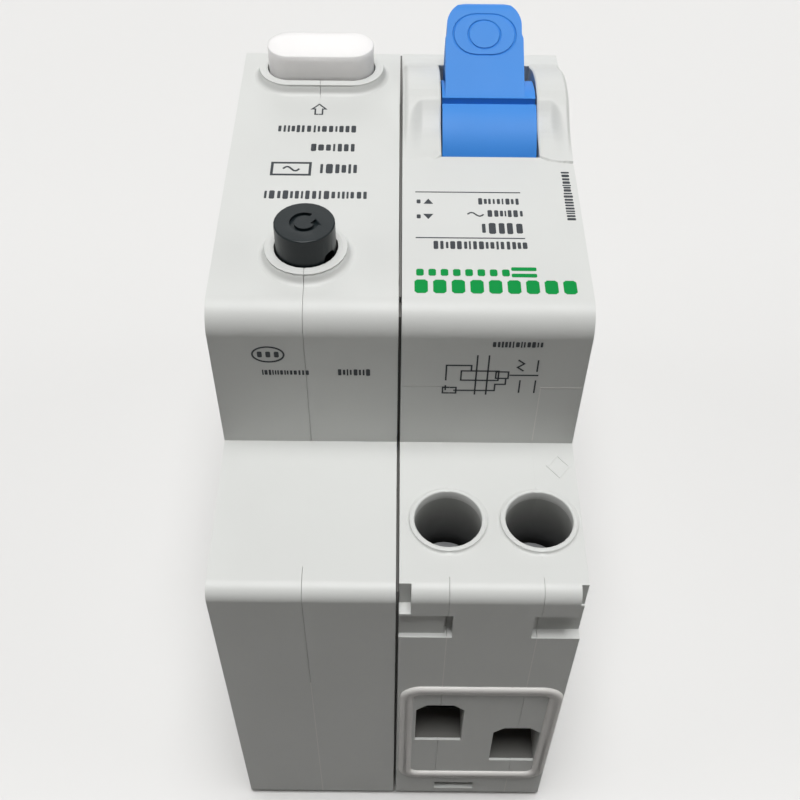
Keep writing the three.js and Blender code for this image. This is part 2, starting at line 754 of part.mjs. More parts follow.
// The lever that both the magnet and the residual-current module push to trip the breaker.
function buildTripLever() {
  const [y, z] = [9, 45.5];
  const width = [3.4, 6.6];
  const [hub, thick, foot] = [2, 0.8, 25.4];
  const body = join(
    rodX(hub, y, z, [2.8, 7.2], 16),
    box(width, [y - thick, y + thick], [foot, z]),
    box(width, [y - 2.6, y], [z - 3.4, z - 2]),
  );
  add("trip_lever", "inner_plastic", cut(body, rodX(PIVOT.bore, y, z, [0, HALF_WIDTH], 12)));
  add("trip_lever_axle", "steel", rodX(PIVOT.axle, y, z, [1.5, 8.4], 12));
}

// A tube along Y.
function tubeY([x, z], [outer, inner], [y0, y1]) {
  return cut(rodY(outer, x, z, [y0, y1], 16), rodY(inner, x, z, [y0 - CUT, y1 + CUT], 16));
}

// A U-shaped steel frame open at the bottom, with a hole for the plunger in its near leg.
function solenoidFrame([x0, x1], [y0, y1], [z0, z1], thick, hole) {
  const legs = join(
    box([x0, x1], [y0, y0 + thick], [z0, z1]),
    box([x0, x1], [y1 - thick, y1], [z0, z1]),
    box([x0, x1], [y0, y1], [z1 - thick, z1]),
  );
  return cut(legs, rodY(hole.r, hole.x, hole.z, [y0 - CUT, y0 + thick + CUT]));
}

// A plunger along Y: a thick core with a thin pin ahead of it.
function plunger([x, z], coreR, core, tip) {
  return join(rodY(coreR, x, z, core, 16), rodY(PUSH_PIN_R, x, z, [tip, core[0] + 0.5], 12));
}

function buildMagnet() {
  const { axis, wireR, tubeR, bobbinR, bore, coil, bobbin, flange } = MAGNET;
  let turns = tubeY(axis, [tubeR, bobbinR], coil);
  for (let y = coil[0] + 0.6; y < coil[1] - 0.8; y += MAGNET.pitch)
    turns = join(turns, tubeY(axis, [wireR, bobbinR], [y, y + MAGNET.band]));
  const tail = join(
    box([4.2, 5.8], [26, 27.4], [23.4, 25.4]),
    box([4.2, 5.8], [26, 32.3], [23.4, 24]),
  );
  add("magnet_coil", "copper", join(turns, tail));
  const spool = join(
    tubeY(axis, [bobbinR - 0.1, bore], bobbin),
    tubeY(axis, [wireR, bore], [bobbin[0], bobbin[0] + flange]),
    tubeY(axis, [wireR, bore], [bobbin[1] - flange, bobbin[1]]),
  );
  add("magnet_bobbin", "inner_plastic", spool);
  const hole = { r: 1, x: axis[0], z: axis[1] };
  add("magnet_yoke", "steel", solenoidFrame([2, 8], [15.7, 30.3], [24.4, 32.8], 1, hole));
  add("magnet_plunger", "steel", plunger(axis, 1.65, [19.5, 26], 10.2));
}

// The bimetal strip behind the magnet, and the screw that sets it.
function buildThermalTrip() {
  const [y0, y1] = [32.6, 33.4];
  const screwAt = { x: MAGNET.axis[0], z: 15 };
  add("bimetal_strip", "brass", box([2.8, 7.2], [y0, y1], [12, 34]));
  add("calibration_screw", "brass", rodY(1.2, screwAt.x, screwAt.z, [y1 + 0.6, 38.6], 12));
}

// Steel plates that split the arc, with a fibre cheek on each side.
function buildArcChute() {
  const { x, y, base, top, plate, pitch, cheek, gap } = ARC;
  let stack = box(x, y, [base, base + plate]);
  for (let near = y[0]; near < y[1]; near += pitch)
    stack = join(stack, box(x, [near, Math.min(near + plate, y[1])], [base, top]));
  const height = [base - 0.2, top + 0.5];
  add("arc_splitter_plates", "steel", stack);
  add("arc_cheek_outer", "inner_plastic", box([x[0] - gap - cheek, x[0] - gap], y, height));
  add("arc_cheek_inner", "inner_plastic", box([x[1] + gap, x[1] + gap + cheek], y, height));
}

// The flexible lead from the phase arm to the magnet's coil.
function buildPhaseBraid() {
  const route = [
    [4.9, 4.7, 28.4],
    [4.9, 6.2, 24.6],
    [4.9, 10, 22.9],
    [4.9, 15, 22.8],
    [4.9, 19, 23.6],
  ];
  add("phase_braid", "copper", wire(route, 0.7, 12, 6));
}

// ---- Residual-current module --------------------------------------------------------------------

// The test button's foot presses the free end of a hinged contact leaf.
function buildTestButton() {
  const { x, y, length, width, top, lip, foot } = TEST;
  const body = join(
    pillZ(length, width, x, y, [FLANGE[0], top]),
    pillZ(length + lip.long, width + lip.wide, x, y, FLANGE),
    box(foot.x, foot.y, [foot.low, FLANGE[0] + 0.1]),
  );
  add("test_button", "button_white", body);
  const { hinge, end, across, thick, roundR } = LEAF;
  const leaf = join(
    box([hinge.x, end], across, [hinge.z - thick / 2, hinge.z + thick / 2]),
    rodY(roundR, hinge.x, hinge.z, across, 12),
  );
  add("test_contact_leaf", "brass", leaf);
}

function buildResetButton() {
  const { x, y, r, top, low, lipR, stemR } = RESET;
  const stem = [SPRING_POST.low + 0.6, low + 0.1];
  const body = join(
    rodZ(r, x, y, [low, top]),
    rodZ(lipR, x, y, FLANGE),
    rodZ(stemR, x, y, stem, 12),
  );
  add("reset_button", "button_black", body);
  const { coilR, wireR, turns, steps, from, to } = SPRING;
  const points = [];
  for (let i = 0; i <= steps; i++) {
    const angle = (2 * Math.PI * turns * i) / steps;
    const height = from + ((to - from) * i) / steps;
    points.push([x + coilR * Math.cos(angle), y + coilR * Math.sin(angle), height]);
  }
  add("reset_spring", "steel", wire(points, wireR, steps, 6));
}

// The current transformer and the two insulated wires that pass through it.
function buildTransformer() {
  const { y, z, span, r, bore, winding, spread } = TRANSFORMER;
  const hollow = rodX(bore, y, z, [span[0] - CUT, span[1] + CUT], 32);
  add("transformer_core", "ferrite", cut(rodX(r, y, z, span, 32), hollow));
  const arc = winding.degrees.map((degrees) => (degrees * Math.PI) / 180);
  const band = new THREE.Shape();
  band.absarc(y, z, winding.outer, arc[0], arc[1], false);
  band.absarc(y, z, winding.inner, arc[1], arc[0], true);
  const around = [span[0] - spread, span[1] + spread];
  add("transformer_winding", "copper", sweep(band, around, ALONG_X, 12));
  const neutral = [
    [13.8, 7.4, 25],
    [13.4, 6.6, 20.6],
    [8, 1.6, 20],
    [1, -0.1, 21],
    [-8, 0, 21],
    [-13.6, 0.6, 21],
    [-15.1, 4.4, 20.6],
    [-14.6, 15, 20],
    [-13.5, 25.6, 19.9],
  ];
  add("neutral_wire", "wire_blue", wire(neutral, LOAD_WIRE_R, 24));
  const phase = [
    [5, 31.6, 14],
    [5, 27, 12.6],
    [5, 14, 13.4],
    [4.8, 4, 13.8],
    [4, -4.1, 16],
    [1.8, -4.2, 20.6],
    [0, -4, 21],
    [-3, -3.8, 21],
    [-8, -3.8, 21],
    [-13, -3.8, 21.2],
    [-15, -4.4, 25],
    [-14.4, -1, 31.4],
    [-9, 9, 33],
    [-5, 19, 28.6],
    [-4.5, 25.6, 25.4],
  ];
  add("phase_wire", "wire_brown", wire(phase, LOAD_WIRE_R, 34));
}

// The circuit board stands against the left wall, with its parts on its +X face.
function buildElectronics() {
  const face = BOARD.x[1];
  add("circuit_board", "board_green", box([BOARD.x[0], face - 0.1], BOARD.y, BOARD.z));
  add("filter_capacitor", "component_dark", rodX(3.6, -30, 18, [face, -5], 20));
  const disc = rodX(4.2, -20.4, 38, [face, -11.6], 20);
  const flat = box([face - CUT, -11.6 + CUT], [-26, -14], [43, 45]);
  add("surge_varistor", "wire_blue", cut(disc, flat));
  add("thyristor", "component_dark", box([face, -11.2], [-32, -27.4], [28, 33]));
  add("test_resistor", "inner_plastic", rodX(1.4, -19, 27, [face, -5.5], 12));
}

function buildRelay() {
  const axis = RELAY.axis;
  add("relay_coil", "copper", tubeY(axis, [RELAY.coilR, RELAY.bore], RELAY.coil));
  const hole = { r: 1, x: axis[0], z: axis[1] };
  const { x, y, z, thick } = RELAY.frame;
  add("relay_frame", "steel", solenoidFrame(x, y, z, thick, hole));
  add("relay_plunger", "steel", plunger(axis, RELAY.coreR, RELAY.core, 10.2));
}

// The lever that the relay pushes. Its peg reaches across to the breaker's trip lever.
function buildCrossLever() {
  const [y, z] = [9, 52];
  const width = [-9.4, -6.6];
  const [hub, thick, low, shelf] = [2, 0.8, 37.4, 39.2];
  const peg = { r: 0.8, y: 12.6, z: 38.3, x: [-7, 6.2] };
  const lever = join(
    rodX(hub, y, z, [-11, -5], 16),
    box(width, [y - thick, y + thick], [low, z]),
    box(width, [y, 13.4], [low, shelf]),
    rodX(peg.r, peg.y, peg.z, peg.x, 12),
  );
  add("cross_trip_lever", "inner_plastic", cut(lever, rodX(PIVOT.bore, y, z, [-HALF_WIDTH, 0], 12)));
  add("cross_lever_axle", "steel", rodX(PIVOT.axle, y, z, [-16.5, -1.5], 12));
}

// ---- Assembly -----------------------------------------------------------------------------------

buildBreakerCasing();
buildVigiCasing();
buildRivets();
buildRailClip("breaker_rail_clip", 9);
buildRailClip("vigi_rail_clip", -9);
for (const pole of ["phase", "neutral"]) {
  buildTerminal(`line_${pole}`, LINE_X[pole], -TERMINAL_Y, TERMINAL_DROP[pole]);
  buildTerminal(`load_${pole}`, LOAD_X[pole], TERMINAL_Y, TERMINAL_DROP[pole]);
}
buildFixedContacts();
buildLoadTongues();
buildToggle();
buildToggleLink();
buildContacts();
buildTripLever();
buildMagnet();
buildThermalTrip();
buildArcChute();
buildPhaseBraid();
buildTestButton();
buildResetButton();
buildTransformer();
buildElectronics();
buildRelay();
buildCrossLever();

export default assembly;
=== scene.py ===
"""The looks of a two-module residual-current breaker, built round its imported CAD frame."""

import json
import math
import random

import bmesh
import bpy
from mathutils import Euler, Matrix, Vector


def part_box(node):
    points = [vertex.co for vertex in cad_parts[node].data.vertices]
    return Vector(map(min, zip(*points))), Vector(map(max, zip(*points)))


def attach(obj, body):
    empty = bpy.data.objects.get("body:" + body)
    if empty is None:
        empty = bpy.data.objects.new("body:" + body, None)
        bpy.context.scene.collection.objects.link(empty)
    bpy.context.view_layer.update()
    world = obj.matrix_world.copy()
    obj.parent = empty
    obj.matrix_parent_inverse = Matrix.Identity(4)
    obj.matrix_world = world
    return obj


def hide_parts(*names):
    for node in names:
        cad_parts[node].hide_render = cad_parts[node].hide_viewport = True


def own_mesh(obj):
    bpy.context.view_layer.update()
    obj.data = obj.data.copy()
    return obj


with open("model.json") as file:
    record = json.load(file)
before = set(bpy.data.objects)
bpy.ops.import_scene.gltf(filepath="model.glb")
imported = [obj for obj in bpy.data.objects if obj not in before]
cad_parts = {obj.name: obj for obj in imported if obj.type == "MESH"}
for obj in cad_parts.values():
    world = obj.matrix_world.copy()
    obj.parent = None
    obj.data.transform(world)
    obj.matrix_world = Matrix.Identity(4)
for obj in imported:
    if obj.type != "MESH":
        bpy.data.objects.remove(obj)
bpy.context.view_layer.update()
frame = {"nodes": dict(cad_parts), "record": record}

MM = 0.001
CASING = "casing"

# ---- Main sizes and places, in millimetres ---------------------------------------------------------


def box_mm(node):
    low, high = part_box(node)
    return [value / MM for value in low], [value / MM for value in high]


def centre_mm(node):
    """The middle of a node's box, seen from above."""
    low, high = box_mm(node)
    return (low[0] + high[0]) / 2, (low[1] + high[1]) / 2


SHOULDER = 47.5
NOSE_HALF = 22.5
END = 41.0  # half of the casing's length
# Where the casing's moulded parts meet, across its width.
INNER_SEAM = 4.9
OUTER_SEAM = 13.8
VIGI_SEAM = -9
COLLAR_RISE = 1.0
FACE = box_mm("vigi_left_shell")[1][2] - COLLAR_RISE
RESET_TOP = box_mm("reset_button")[1][2]
RESET_CENTRE = centre_mm("reset_button")
RESET_SIZE = 5.8
TEST_CENTRE = centre_mm("test_button")
TEST_LENGTH = 11.8
TEST_WIDTH = 5


# ---- Materials ----------------------------------------------------------------------------------

# Features per metre of the colour's drift, the wandering gloss and the moulded grain.
DRIFT = 90
WANDER = 400
GRAIN = 9000
METAL_MOTTLE = 700
METAL_WANDER = 2500
METAL_GRAIN = 4000
GRAIN_DEPTH = 0.02
METAL_GRAIN_DEPTH = 0.01
GRAIN_STRENGTH = 0.35
WELL_STRENGTH = 0.3
METAL_STRENGTH = 0.2
GLOSS_SPREAD = 0.05
METAL_SHADE = 0.86  # the mottle's darker tone, as a share of the metal's colour
MILKY_DEPTH = 3


def shader(name, roughness, metallic=0.0):
    """A new material and its principled shader, with the values that are the same all over."""
    material = bpy.data.materials.new(name)
    material.use_nodes = True
    principled = material.node_tree.nodes["Principled BSDF"]
    principled.inputs["Metallic"].default_value = metallic
    principled.inputs["Roughness"].default_value = roughness
    return material, principled


def noise(tree, scale, detail=4.0):
    """Noise in object space, as its factor socket. scale is in features per metre."""
    coordinates = tree.nodes.new("ShaderNodeTexCoord")
    texture = tree.nodes.new("ShaderNodeTexNoise")
    texture.inputs["Scale"].default_value = scale
    texture.inputs["Detail"].default_value = detail
    tree.links.new(coordinates.outputs["Object"], texture.inputs["Vector"])
    return texture.outputs["Fac"]


def ramp(tree, factor, low, high, at=(0.35, 0.65)):
    """Blends from one colour to another as the factor rises."""
    node = tree.nodes.new("ShaderNodeValToRGB")
    node.color_ramp.elements[0].position = at[0]
    node.color_ramp.elements[1].position = at[1]
    node.color_ramp.elements[0].color = (*low, 1)
    node.color_ramp.elements[1].color = (*high, 1)
    tree.links.new(factor, node.inputs["Fac"])
    return node.outputs["Color"]


def bump(tree, principled, height, strength, depth):
    node = tree.nodes.new("ShaderNodeBump")
    node.inputs["Strength"].default_value = strength
    node.inputs["Distance"].default_value = depth
    tree.links.new(height, node.inputs["Height"])
    tree.links.new(node.outputs["Normal"], principled.inputs["Normal"])


def spread(tree, factor, low, high):
    """A roughness that wanders between two values."""
    node = tree.nodes.new("ShaderNodeMapRange")
    node.inputs["To Min"].default_value = low
    node.inputs["To Max"].default_value = high
    tree.links.new(factor, node.inputs["Value"])
    return node.outputs["Result"]


def plastic(name, colour, roughness, tint=0.03, shine=0.5, milky=0.0):
    """Moulded plastic: a fine spark-eroded grain, and a colour that drifts a little.

    tint is how far the colour drifts, and milky how much light goes through below the surface.
    """
    material, principled = shader(name, roughness)
    principled.inputs["Specular IOR Level"].default_value = shine
    principled.inputs["Subsurface Weight"].default_value = milky
    principled.inputs["Subsurface Radius"].default_value = (1, 1, 1)
    principled.inputs["Subsurface Scale"].default_value = MILKY_DEPTH * MM
    tree = material.node_tree
    darker = [channel * (1 - tint) for channel in colour]
    drift = ramp(tree, noise(tree, DRIFT), darker, colour)
    tree.links.new(drift, principled.inputs["Base Color"])
    low, high = roughness - GLOSS_SPREAD, roughness + GLOSS_SPREAD
    wander = spread(tree, noise(tree, WANDER), low, high)
    tree.links.new(wander, principled.inputs["Roughness"])
    bump(tree, principled, noise(tree, GRAIN, detail=2), GRAIN_STRENGTH, GRAIN_DEPTH * MM)
    return material


def metal(name, colour, roughness, brushed=0.04):
    """Plated or bare metal with a faint mottle."""
    material, principled = shader(name, roughness, metallic=1.0)
    tree = material.node_tree
    darker = [channel * METAL_SHADE for channel in colour]
    mottle = ramp(tree, noise(tree, METAL_MOTTLE), darker, colour)
    tree.links.new(mottle, principled.inputs["Base Color"])
    wander = spread(tree, noise(tree, METAL_WANDER), roughness - brushed, roughness + brushed)
    tree.links.new(wander, principled.inputs["Roughness"])
    bump(tree, principled, noise(tree, METAL_GRAIN), METAL_STRENGTH, METAL_GRAIN_DEPTH * MM)
    return material


MATERIALS = {
    "case_grey": plastic("case_grey", (0.555, 0.563, 0.548), 0.5, tint=0.02),
    "toggle_blue": plastic("toggle_blue", (0.042, 0.225, 0.64), 0.5, tint=0.05, shine=0.2),
    "button_white": plastic("button_white", (0.74, 0.73, 0.725), 0.35, tint=0.015, milky=0.7),
    "button_black": plastic("button_black", (0.008, 0.013, 0.015), 0.34, tint=0.15, shine=0.35),
    "inner_plastic": plastic("inner_plastic", (0.42, 0.4, 0.34), 0.55, tint=0.06),
    "steel": metal("steel", (0.27, 0.275, 0.28), 0.5),
    "copper": metal("copper", (0.75, 0.4, 0.25), 0.35),
    "brass": metal("brass", (0.72, 0.55, 0.28), 0.33),
    "ferrite": plastic("ferrite", (0.045, 0.047, 0.05), 0.6, tint=0.2),
    "board_green": plastic("board_green", (0.03, 0.16, 0.07), 0.4, tint=0.15),
    "wire_blue": plastic("wire_blue", (0.03, 0.1, 0.42), 0.45, tint=0.08),
    "wire_brown": plastic("wire_brown", (0.12, 0.055, 0.03), 0.45, tint=0.1),
    "component_dark": plastic("component_dark", (0.02, 0.02, 0.022), 0.5, tint=0.2),
}
# A lighter copy of the casing plastic: a painted highlight on the frames and the moulding seams.
PAINTED_HIGHLIGHT_GREY = plastic("painted_highlight_grey", (0.66, 0.645, 0.625), 0.5, tint=0.02)
INK = plastic("dark_ink", (0.045, 0.05, 0.056), 0.55, tint=0.1, shine=0.2)
GREEN_INK = plastic("green_ink", (0.0, 0.235, 0.045), 0.5, tint=0.05, shine=0.1)
# A dark grey for painted shade: in the gap between the modules and on the floors of the wire entries.
PAINTED_SHADE_GREY = plastic("painted_shade_grey", (0.12, 0.118, 0.11), 0.6, tint=0.05)
SLOTS = {row["node"]: row["material_slot"] for row in frame["record"]["subparts"]}


def dress_frame():
    """Gives each CAD node the material of its slot."""
    for name, node in frame["nodes"].items():
        node.data.materials.clear()
        node.data.materials.append(MATERIALS[SLOTS[name]])


# ---- Pieces made from the frame's own nodes -------------------------------------------------------

WELD = 0.002  # points closer than this become one
FLAT = 0.6  # faces that turn by less than this many degrees become one


def place(mesh, name, body, slot=None, material=None):
    """Puts a finished mesh in the scene as a piece of the object."""
    piece = bpy.data.objects.new(name, mesh)
    bpy.context.scene.collection.objects.link(piece)
    mesh.materials.clear()
    mesh.materials.append(material or MATERIALS[slot])
    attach(piece, body)
    return piece


def with_modifier(mesh, kind, **settings):
    """A new mesh: the given one after one modifier."""
    holder = bpy.data.objects.new("holder", mesh)
    bpy.context.scene.collection.objects.link(holder)
    modifier = holder.modifiers.new("step", kind)
    for key, value in settings.items():
        setattr(modifier, key, value)
    depsgraph = bpy.context.evaluated_depsgraph_get()
    result = bpy.data.meshes.new_from_object(holder.evaluated_get(depsgraph), depsgraph=depsgraph)
    bpy.data.objects.remove(holder)
    return result


def bevelled(mesh, width, segments=2, angle=32):
    """The mesh with its sharp edges rounded and smooth shading. width is in millimetres."""
    mesh.shade_smooth()
    return with_modifier(
        mesh,
        "BEVEL",
        width=width * MM,
        segments=segments,
        limit_method="ANGLE",
        angle_limit=math.radians(angle),
        harden_normals=True,
        miter_outer="MITER_ARC",
    )


def carved(mesh, tool):
    """The mesh with the tool's volume taken away."""
    knife = bpy.data.objects.new("knife", tool)
    bpy.context.scene.collection.objects.link(knife)
    result = with_modifier(mesh, "BOOLEAN", operation="DIFFERENCE", solver="EXACT", object=knife)
    bpy.data.objects.remove(knife)
    return result


def smoothed(mesh, angle=30):
    """Smooth shading, with a crease wherever the surface turns by more than the angle."""
    mesh.shade_smooth()
    mesh.set_sharp_from_angle(angle=math.radians(angle))
    return mesh


def face_led(mesh, angle=30):
    """Smooth shading that keeps the large faces looking flat."""
    return with_modifier(smoothed(mesh, angle), "WEIGHTED_NORMAL", keep_sharp=True, weight=100)


def outline_of(node):
    """A copy of a node's mesh with its flat faces made whole."""
    mesh = frame["nodes"][node].data.copy()
    edit = bmesh.new()
    edit.from_mesh(mesh)
    bmesh.ops.remove_doubles(edit, verts=edit.verts, dist=WELD * MM)
    flat = math.radians(FLAT)
    bmesh.ops.dissolve_limit(edit, angle_limit=flat, verts=edit.verts, edges=edit.edges)
    edit.to_mesh(mesh)
    edit.free()
    return mesh


def finish_node(node, body, mesh):
    """Shows the finished mesh in place of the node."""
    piece = place(mesh, node + "_finished", body, SLOTS[node])
    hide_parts(node)


# ---- Meshes of this script's own ----------------------------------------------------------------

PAST = 5  # how far a cutter goes past what it cuts


def mesh_from(points, faces, name):
    """A mesh from points in millimetres, with its faces turned outwards."""
    mesh = bpy.data.meshes.new(name)
    mesh.from_pydata([Vector(point) * MM for point in points], [], faces)
    edit = bmesh.new()
    edit.from_mesh(mesh)
    bmesh.ops.recalc_face_normals(edit, faces=edit.faces)
    edit.to_mesh(mesh)
    edit.free()
    return mesh


def skin(loops, ring=False):
    """Points and faces of a skin over equal loops. A ring closes on itself, else its ends are capped."""
    count = len(loops[0])
    points = [point for loop in loops for point in loop]
    faces = []
    for i in range(len(loops) if ring else len(loops) - 1):
        here = i * count
        there = (i + 1) % len(loops) * count
        for j in range(count):
            k = (j + 1) % count
            faces.append((here + j, here + k, there + k, there + j))
    if not ring:
        faces.append(tuple(range(count)))
        faces.append(tuple(range(len(points) - count, len(points))))
    return points, faces


def merged(parts, name):
    """One mesh from several lots of points and faces."""
    points, faces = [], []
    for part_points, part_faces in parts:
        start = len(points)
        points += part_points
        faces += [tuple(start + i for i in face) for face in part_faces]
    return mesh_from(points, faces, name)


def block(low, high):
    """Points and faces of a cutting block between two corners."""
    loops = [
        [(x, low[1], low[2]), (x, high[1], low[2]), (x, high[1], high[2]), (x, low[1], high[2])]
        for x in (low[0], high[0])
    ]
    return skin(loops)


def stadium(centre, length, width, grow, z, steps=24):
    """A loop round a stadium, or a circle when length equals width, pushed outwards by grow."""
    half = (length - width) / 2
    radius = width / 2 + grow
    loop = []
    for side in (1, -1):
        for i in range(steps + 1):
            angle = math.pi * (i / steps - 0.5) + (0 if side > 0 else math.pi)
            x = centre[0] + side * half + radius * math.cos(angle)
            loop.append((x, centre[1] + radius * math.sin(angle), z))
    return loop


def collar(name, centre, length, width, profile, seam=None):
    """A soft ring round an opening. The profile is (outwards from the opening's edge, height)."""
    loops = [stadium(centre, length, width, out, z) for out, z in profile]
    mesh = mesh_from(*skin(loops, ring=True), name)
    if seam is not None:
        reach = length + PAST
        low = (seam - COLLAR_SEAM / 2, centre[1] - reach, 0)
        high = (seam + COLLAR_SEAM / 2, centre[1] + reach, FACE + PAST)
        mesh = carved(mesh, mesh_from(*block(low, high), "seam"))
    place(smoothed(mesh, angle=50), name, CASING, "case_grey")


def smoothstep(edge0, edge1, value):
    t = min(max((value - edge0) / (edge1 - edge0), 0.0), 1.0)
    return t * t * (3 - 2 * t)


def along(table, value):
    """Reads a height from (place, height) pairs, on the straight lines between them."""
    if value <= table[0][0]:
        return table[0][1]
    for (p0, h0), (p1, h1) in zip(table, table[1:]):
        if value <= p1:
            return h0 + (h1 - h0) * (value - p0) / (p1 - p0)
    return table[-1][1]


# ---- Casing ---------------------------------------------------------------------------------------

VIGI_SHELLS = ("vigi_left_shell", "vigi_right_shell")
EDGE = 0.1  # rounding of the casing's edges

# Two corners of the ledge that the CAD leaves between the outer notch and the busbar slot.
LEDGE = ((17.25, -END - 1, 43.7), (18.5, -END + 1.1, 44.2))
POCKET_INSET = 0.05  # how far inside the hood's edges the CAD hood is cut away
POCKET_DEPTH = 0.1

# The hood round the toggle's slot. Heights are above the front face.
SLOT_X = (4.25, 14.55)
SLOT_Y = (1.65, 18.4)
HOOD_X = (0.2, 17.97)
HOOD_Y = (0.3, 20.6)
HOOD_FOOT = -0.2
HOOD_LAP = 0.01  # its outer edge lies this far under the front face
# The rim of each cheek, from the line end to the load end.
RIM_RISE = (
    (0, 0), (0.6, 0.07), (1.6, 0.28), (3, 0.62), (4.5, 1.12), (6, 1.78), (7.2, 2.3), (8.2, 2.62),
    (9.2, 2.8), (10.2, 2.84), (11.5, 2.76), (13, 2.45), (14.6, 1.9), (16, 1.25), (17.2, 0.7),
    (18.4, 0.3), (19.6, 0.08), (20.4, 0),
)  # fmt: skip
# Height of the finger's hollow on both sides of the lever.
HOLLOW = (
    (1.0, 0.0), (2.2, 0.14), (3.4, 0.24), (4.4, 0.34), (5.2, 0.5), (5.8, 0.7), (6.4, 0.98),
    (7.0, 1.34), (7.5, 1.7), (8.0, 2.12), (8.3, 2.4), (8.6, 2.8), (9.5, 4.5),
)  # fmt: skip
HOLLOW_EDGE_X = (0.3, 2.4, 15.9, 17.8)
HOLLOW_BEND = 1.2  # how far its wall comes forward at its outer ends
HOLLOW_CORNER = 0.12  # softness of the corner at the hollow's upper edge
HOOD_START = 0.6  # where the hood rises from the face, away from the slot
START_FADE = 1.1  # how quickly the hood's start comes forward beside the slot
RISE_EASE = (-0.2, 2.2)  # softens that start
STEP = 0.24  # the crease that starts the hood beside the slot's near corners
STEP_FROM_X = 3.1  # where the crease fades out on the left
STEP_EASE = (0.0, 0.14)
STEP_FADE = (1.5, 7)
# (drop, width) of the rounding at the hood's two sides
SIDE_DROPS = ((0.4, 0.8), (0.25, 0.5))
SLOT_DROP = (0.1, 0.16)  # and of the rounding round the slot
# How high the hood has to be for these roundings to start, and to be whole.
SIDE_FADE = (0.1, 1.2)
SLOT_FADE = (0.05, 0.4)
# Lines of the hood's grid, as (from, to, spacing): close together where it turns quickly.
GRID_X = (
    (HOOD_X[0], 2.4, 0.1), (2.4, 3.0, 0.2), (3.0, 4.0, 0.12), (4.0, SLOT_X[0], 0.05),
    (SLOT_X[0], SLOT_X[1], 0.3), (SLOT_X[1], 14.8, 0.05), (14.8, 16.1, 0.13),
    (16.1, 17.4, 0.13), (17.4, HOOD_X[1], 0.06),
)  # fmt: skip
GRID_Y = (
    (HOOD_Y[0], 1.5, 0.06), (1.5, SLOT_Y[0], 0.05), (SLOT_Y[0], 2.4, 0.06), (2.4, 5.0, 0.2),
    (5.0, 10.0, 0.1), (10.0, 18.2, 0.22), (18.2, SLOT_Y[1], 0.05), (SLOT_Y[1], HOOD_Y[1], 0.18),
)  # fmt: skip


def softly_above(value):
    """The value where it is above zero and nought where it is below, with a soft corner."""
    if value <= -4 * HOLLOW_CORNER:
        return 0.0
    return (value + math.sqrt(value * value + HOLLOW_CORNER * HOLLOW_CORNER)) / 2


def hollow_depth(x, y, rise):
    """How far the finger's hollow goes into a hood of this height."""
    left_start, left_end, right_start, right_end = HOLLOW_EDGE_X
    scoop = smoothstep(left_start, left_end, x) - smoothstep(right_start, right_end, x)
    floor = along(HOLLOW, y + HOLLOW_BEND * (1 - scoop))
    return softly_above(rise - floor) * scoop


def hood_height(x, y):
    """Height of the hood's surface above the front face."""
    beside = max(SLOT_X[0] - x, x - SLOT_X[1])
    if beside < 0 and y < SLOT_Y[0]:
        return 0.0
    fade = math.exp(-max(beside, 0) / START_FADE)
    start = HOOD_START + (SLOT_Y[0] - HOOD_START) * fade
    t = max(y - start, 0)
    rise = along(RIM_RISE, y - HOOD_START) * smoothstep(*RISE_EASE, t) if t > 0 else 0
    rise -= hollow_depth(x, y, rise)
    crease = STEP if x > SLOT_X[1] else STEP * smoothstep(STEP_FROM_X, SLOT_X[0], x)
    rise += crease * smoothstep(*STEP_EASE, t) * (1 - smoothstep(*STEP_FADE, y))
    for edge, (drop, width) in zip((x - HOOD_X[0], HOOD_X[1] - x), SIDE_DROPS):
        rise -= drop * (1 - smoothstep(0, width, edge)) ** 2 * smoothstep(*SIDE_FADE, rise)
    from_slot = max(SLOT_X[0] - x, x - SLOT_X[1], SLOT_Y[0] - y, y - SLOT_Y[1])
    drop, width = SLOT_DROP
    rise -= drop * (1 - smoothstep(0, width, from_slot)) * smoothstep(*SLOT_FADE, rise)
    return max(rise, 0.0)


def steps_between(low, high, spacing):
    count = max(1, round((high - low) / spacing))
    return [low + (high - low) * i / count for i in range(count)]


def grid_lines(table):
    """The places of a grid's lines, from its table."""
    lines = []
    for low, high, spacing in table:
        lines += steps_between(low, high, spacing)
    return lines + [table[-1][1]]


def without_loose_points(mesh):
    edit = bmesh.new()
    edit.from_mesh(mesh)
    loose = [vertex for vertex in edit.verts if not vertex.link_faces]
    bmesh.ops.delete(edit, geom=loose, context="VERTS")
    edit.to_mesh(mesh)
    edit.free()
    return mesh


def add_hood():
    """A closed shell over the cheeks beside the lever, open over the slot."""
    xs, ys = grid_lines(GRID_X), grid_lines(GRID_Y)
    wide, deep = len(xs), len(ys)
    top = [(x, y, FACE + hood_height(x, y) - HOOD_LAP) for y in ys for x in xs]
    foot = [(x, y, FACE + HOOD_FOOT) for y in ys for x in xs]
    cells = set()
    for j in range(deep - 1):
        for i in range(wide - 1):
            middle_x, middle_y = (xs[i] + xs[i + 1]) / 2, (ys[j] + ys[j + 1]) / 2
            inside = SLOT_X[0] < middle_x < SLOT_X[1] and SLOT_Y[0] < middle_y < SLOT_Y[1]
            if not inside:
                cells.add((i, j))
    faces = []
    below = len(top)
    for i, j in sorted(cells):
        corners = [j * wide + i, j * wide + i + 1, (j + 1) * wide + i + 1, (j + 1) * wide + i]
        faces.append(tuple(corners))
        faces.append(tuple(below + corner for corner in reversed(corners)))
        for k, (di, dj) in enumerate(((0, -1), (1, 0), (0, 1), (-1, 0))):
            if (i + di, j + dj) not in cells:
                a, b = corners[k], corners[(k + 1) % 4]
                faces.append((b, a, below + a, below + b))
    mesh = without_loose_points(mesh_from(top + foot, faces, "toggle_hood"))
    place(smoothed(mesh, angle=38), "toggle_hood", CASING, "case_grey")


def finish_shell(node, mesh):
    finish_node(node, CASING, face_led(mesh, angle=40))


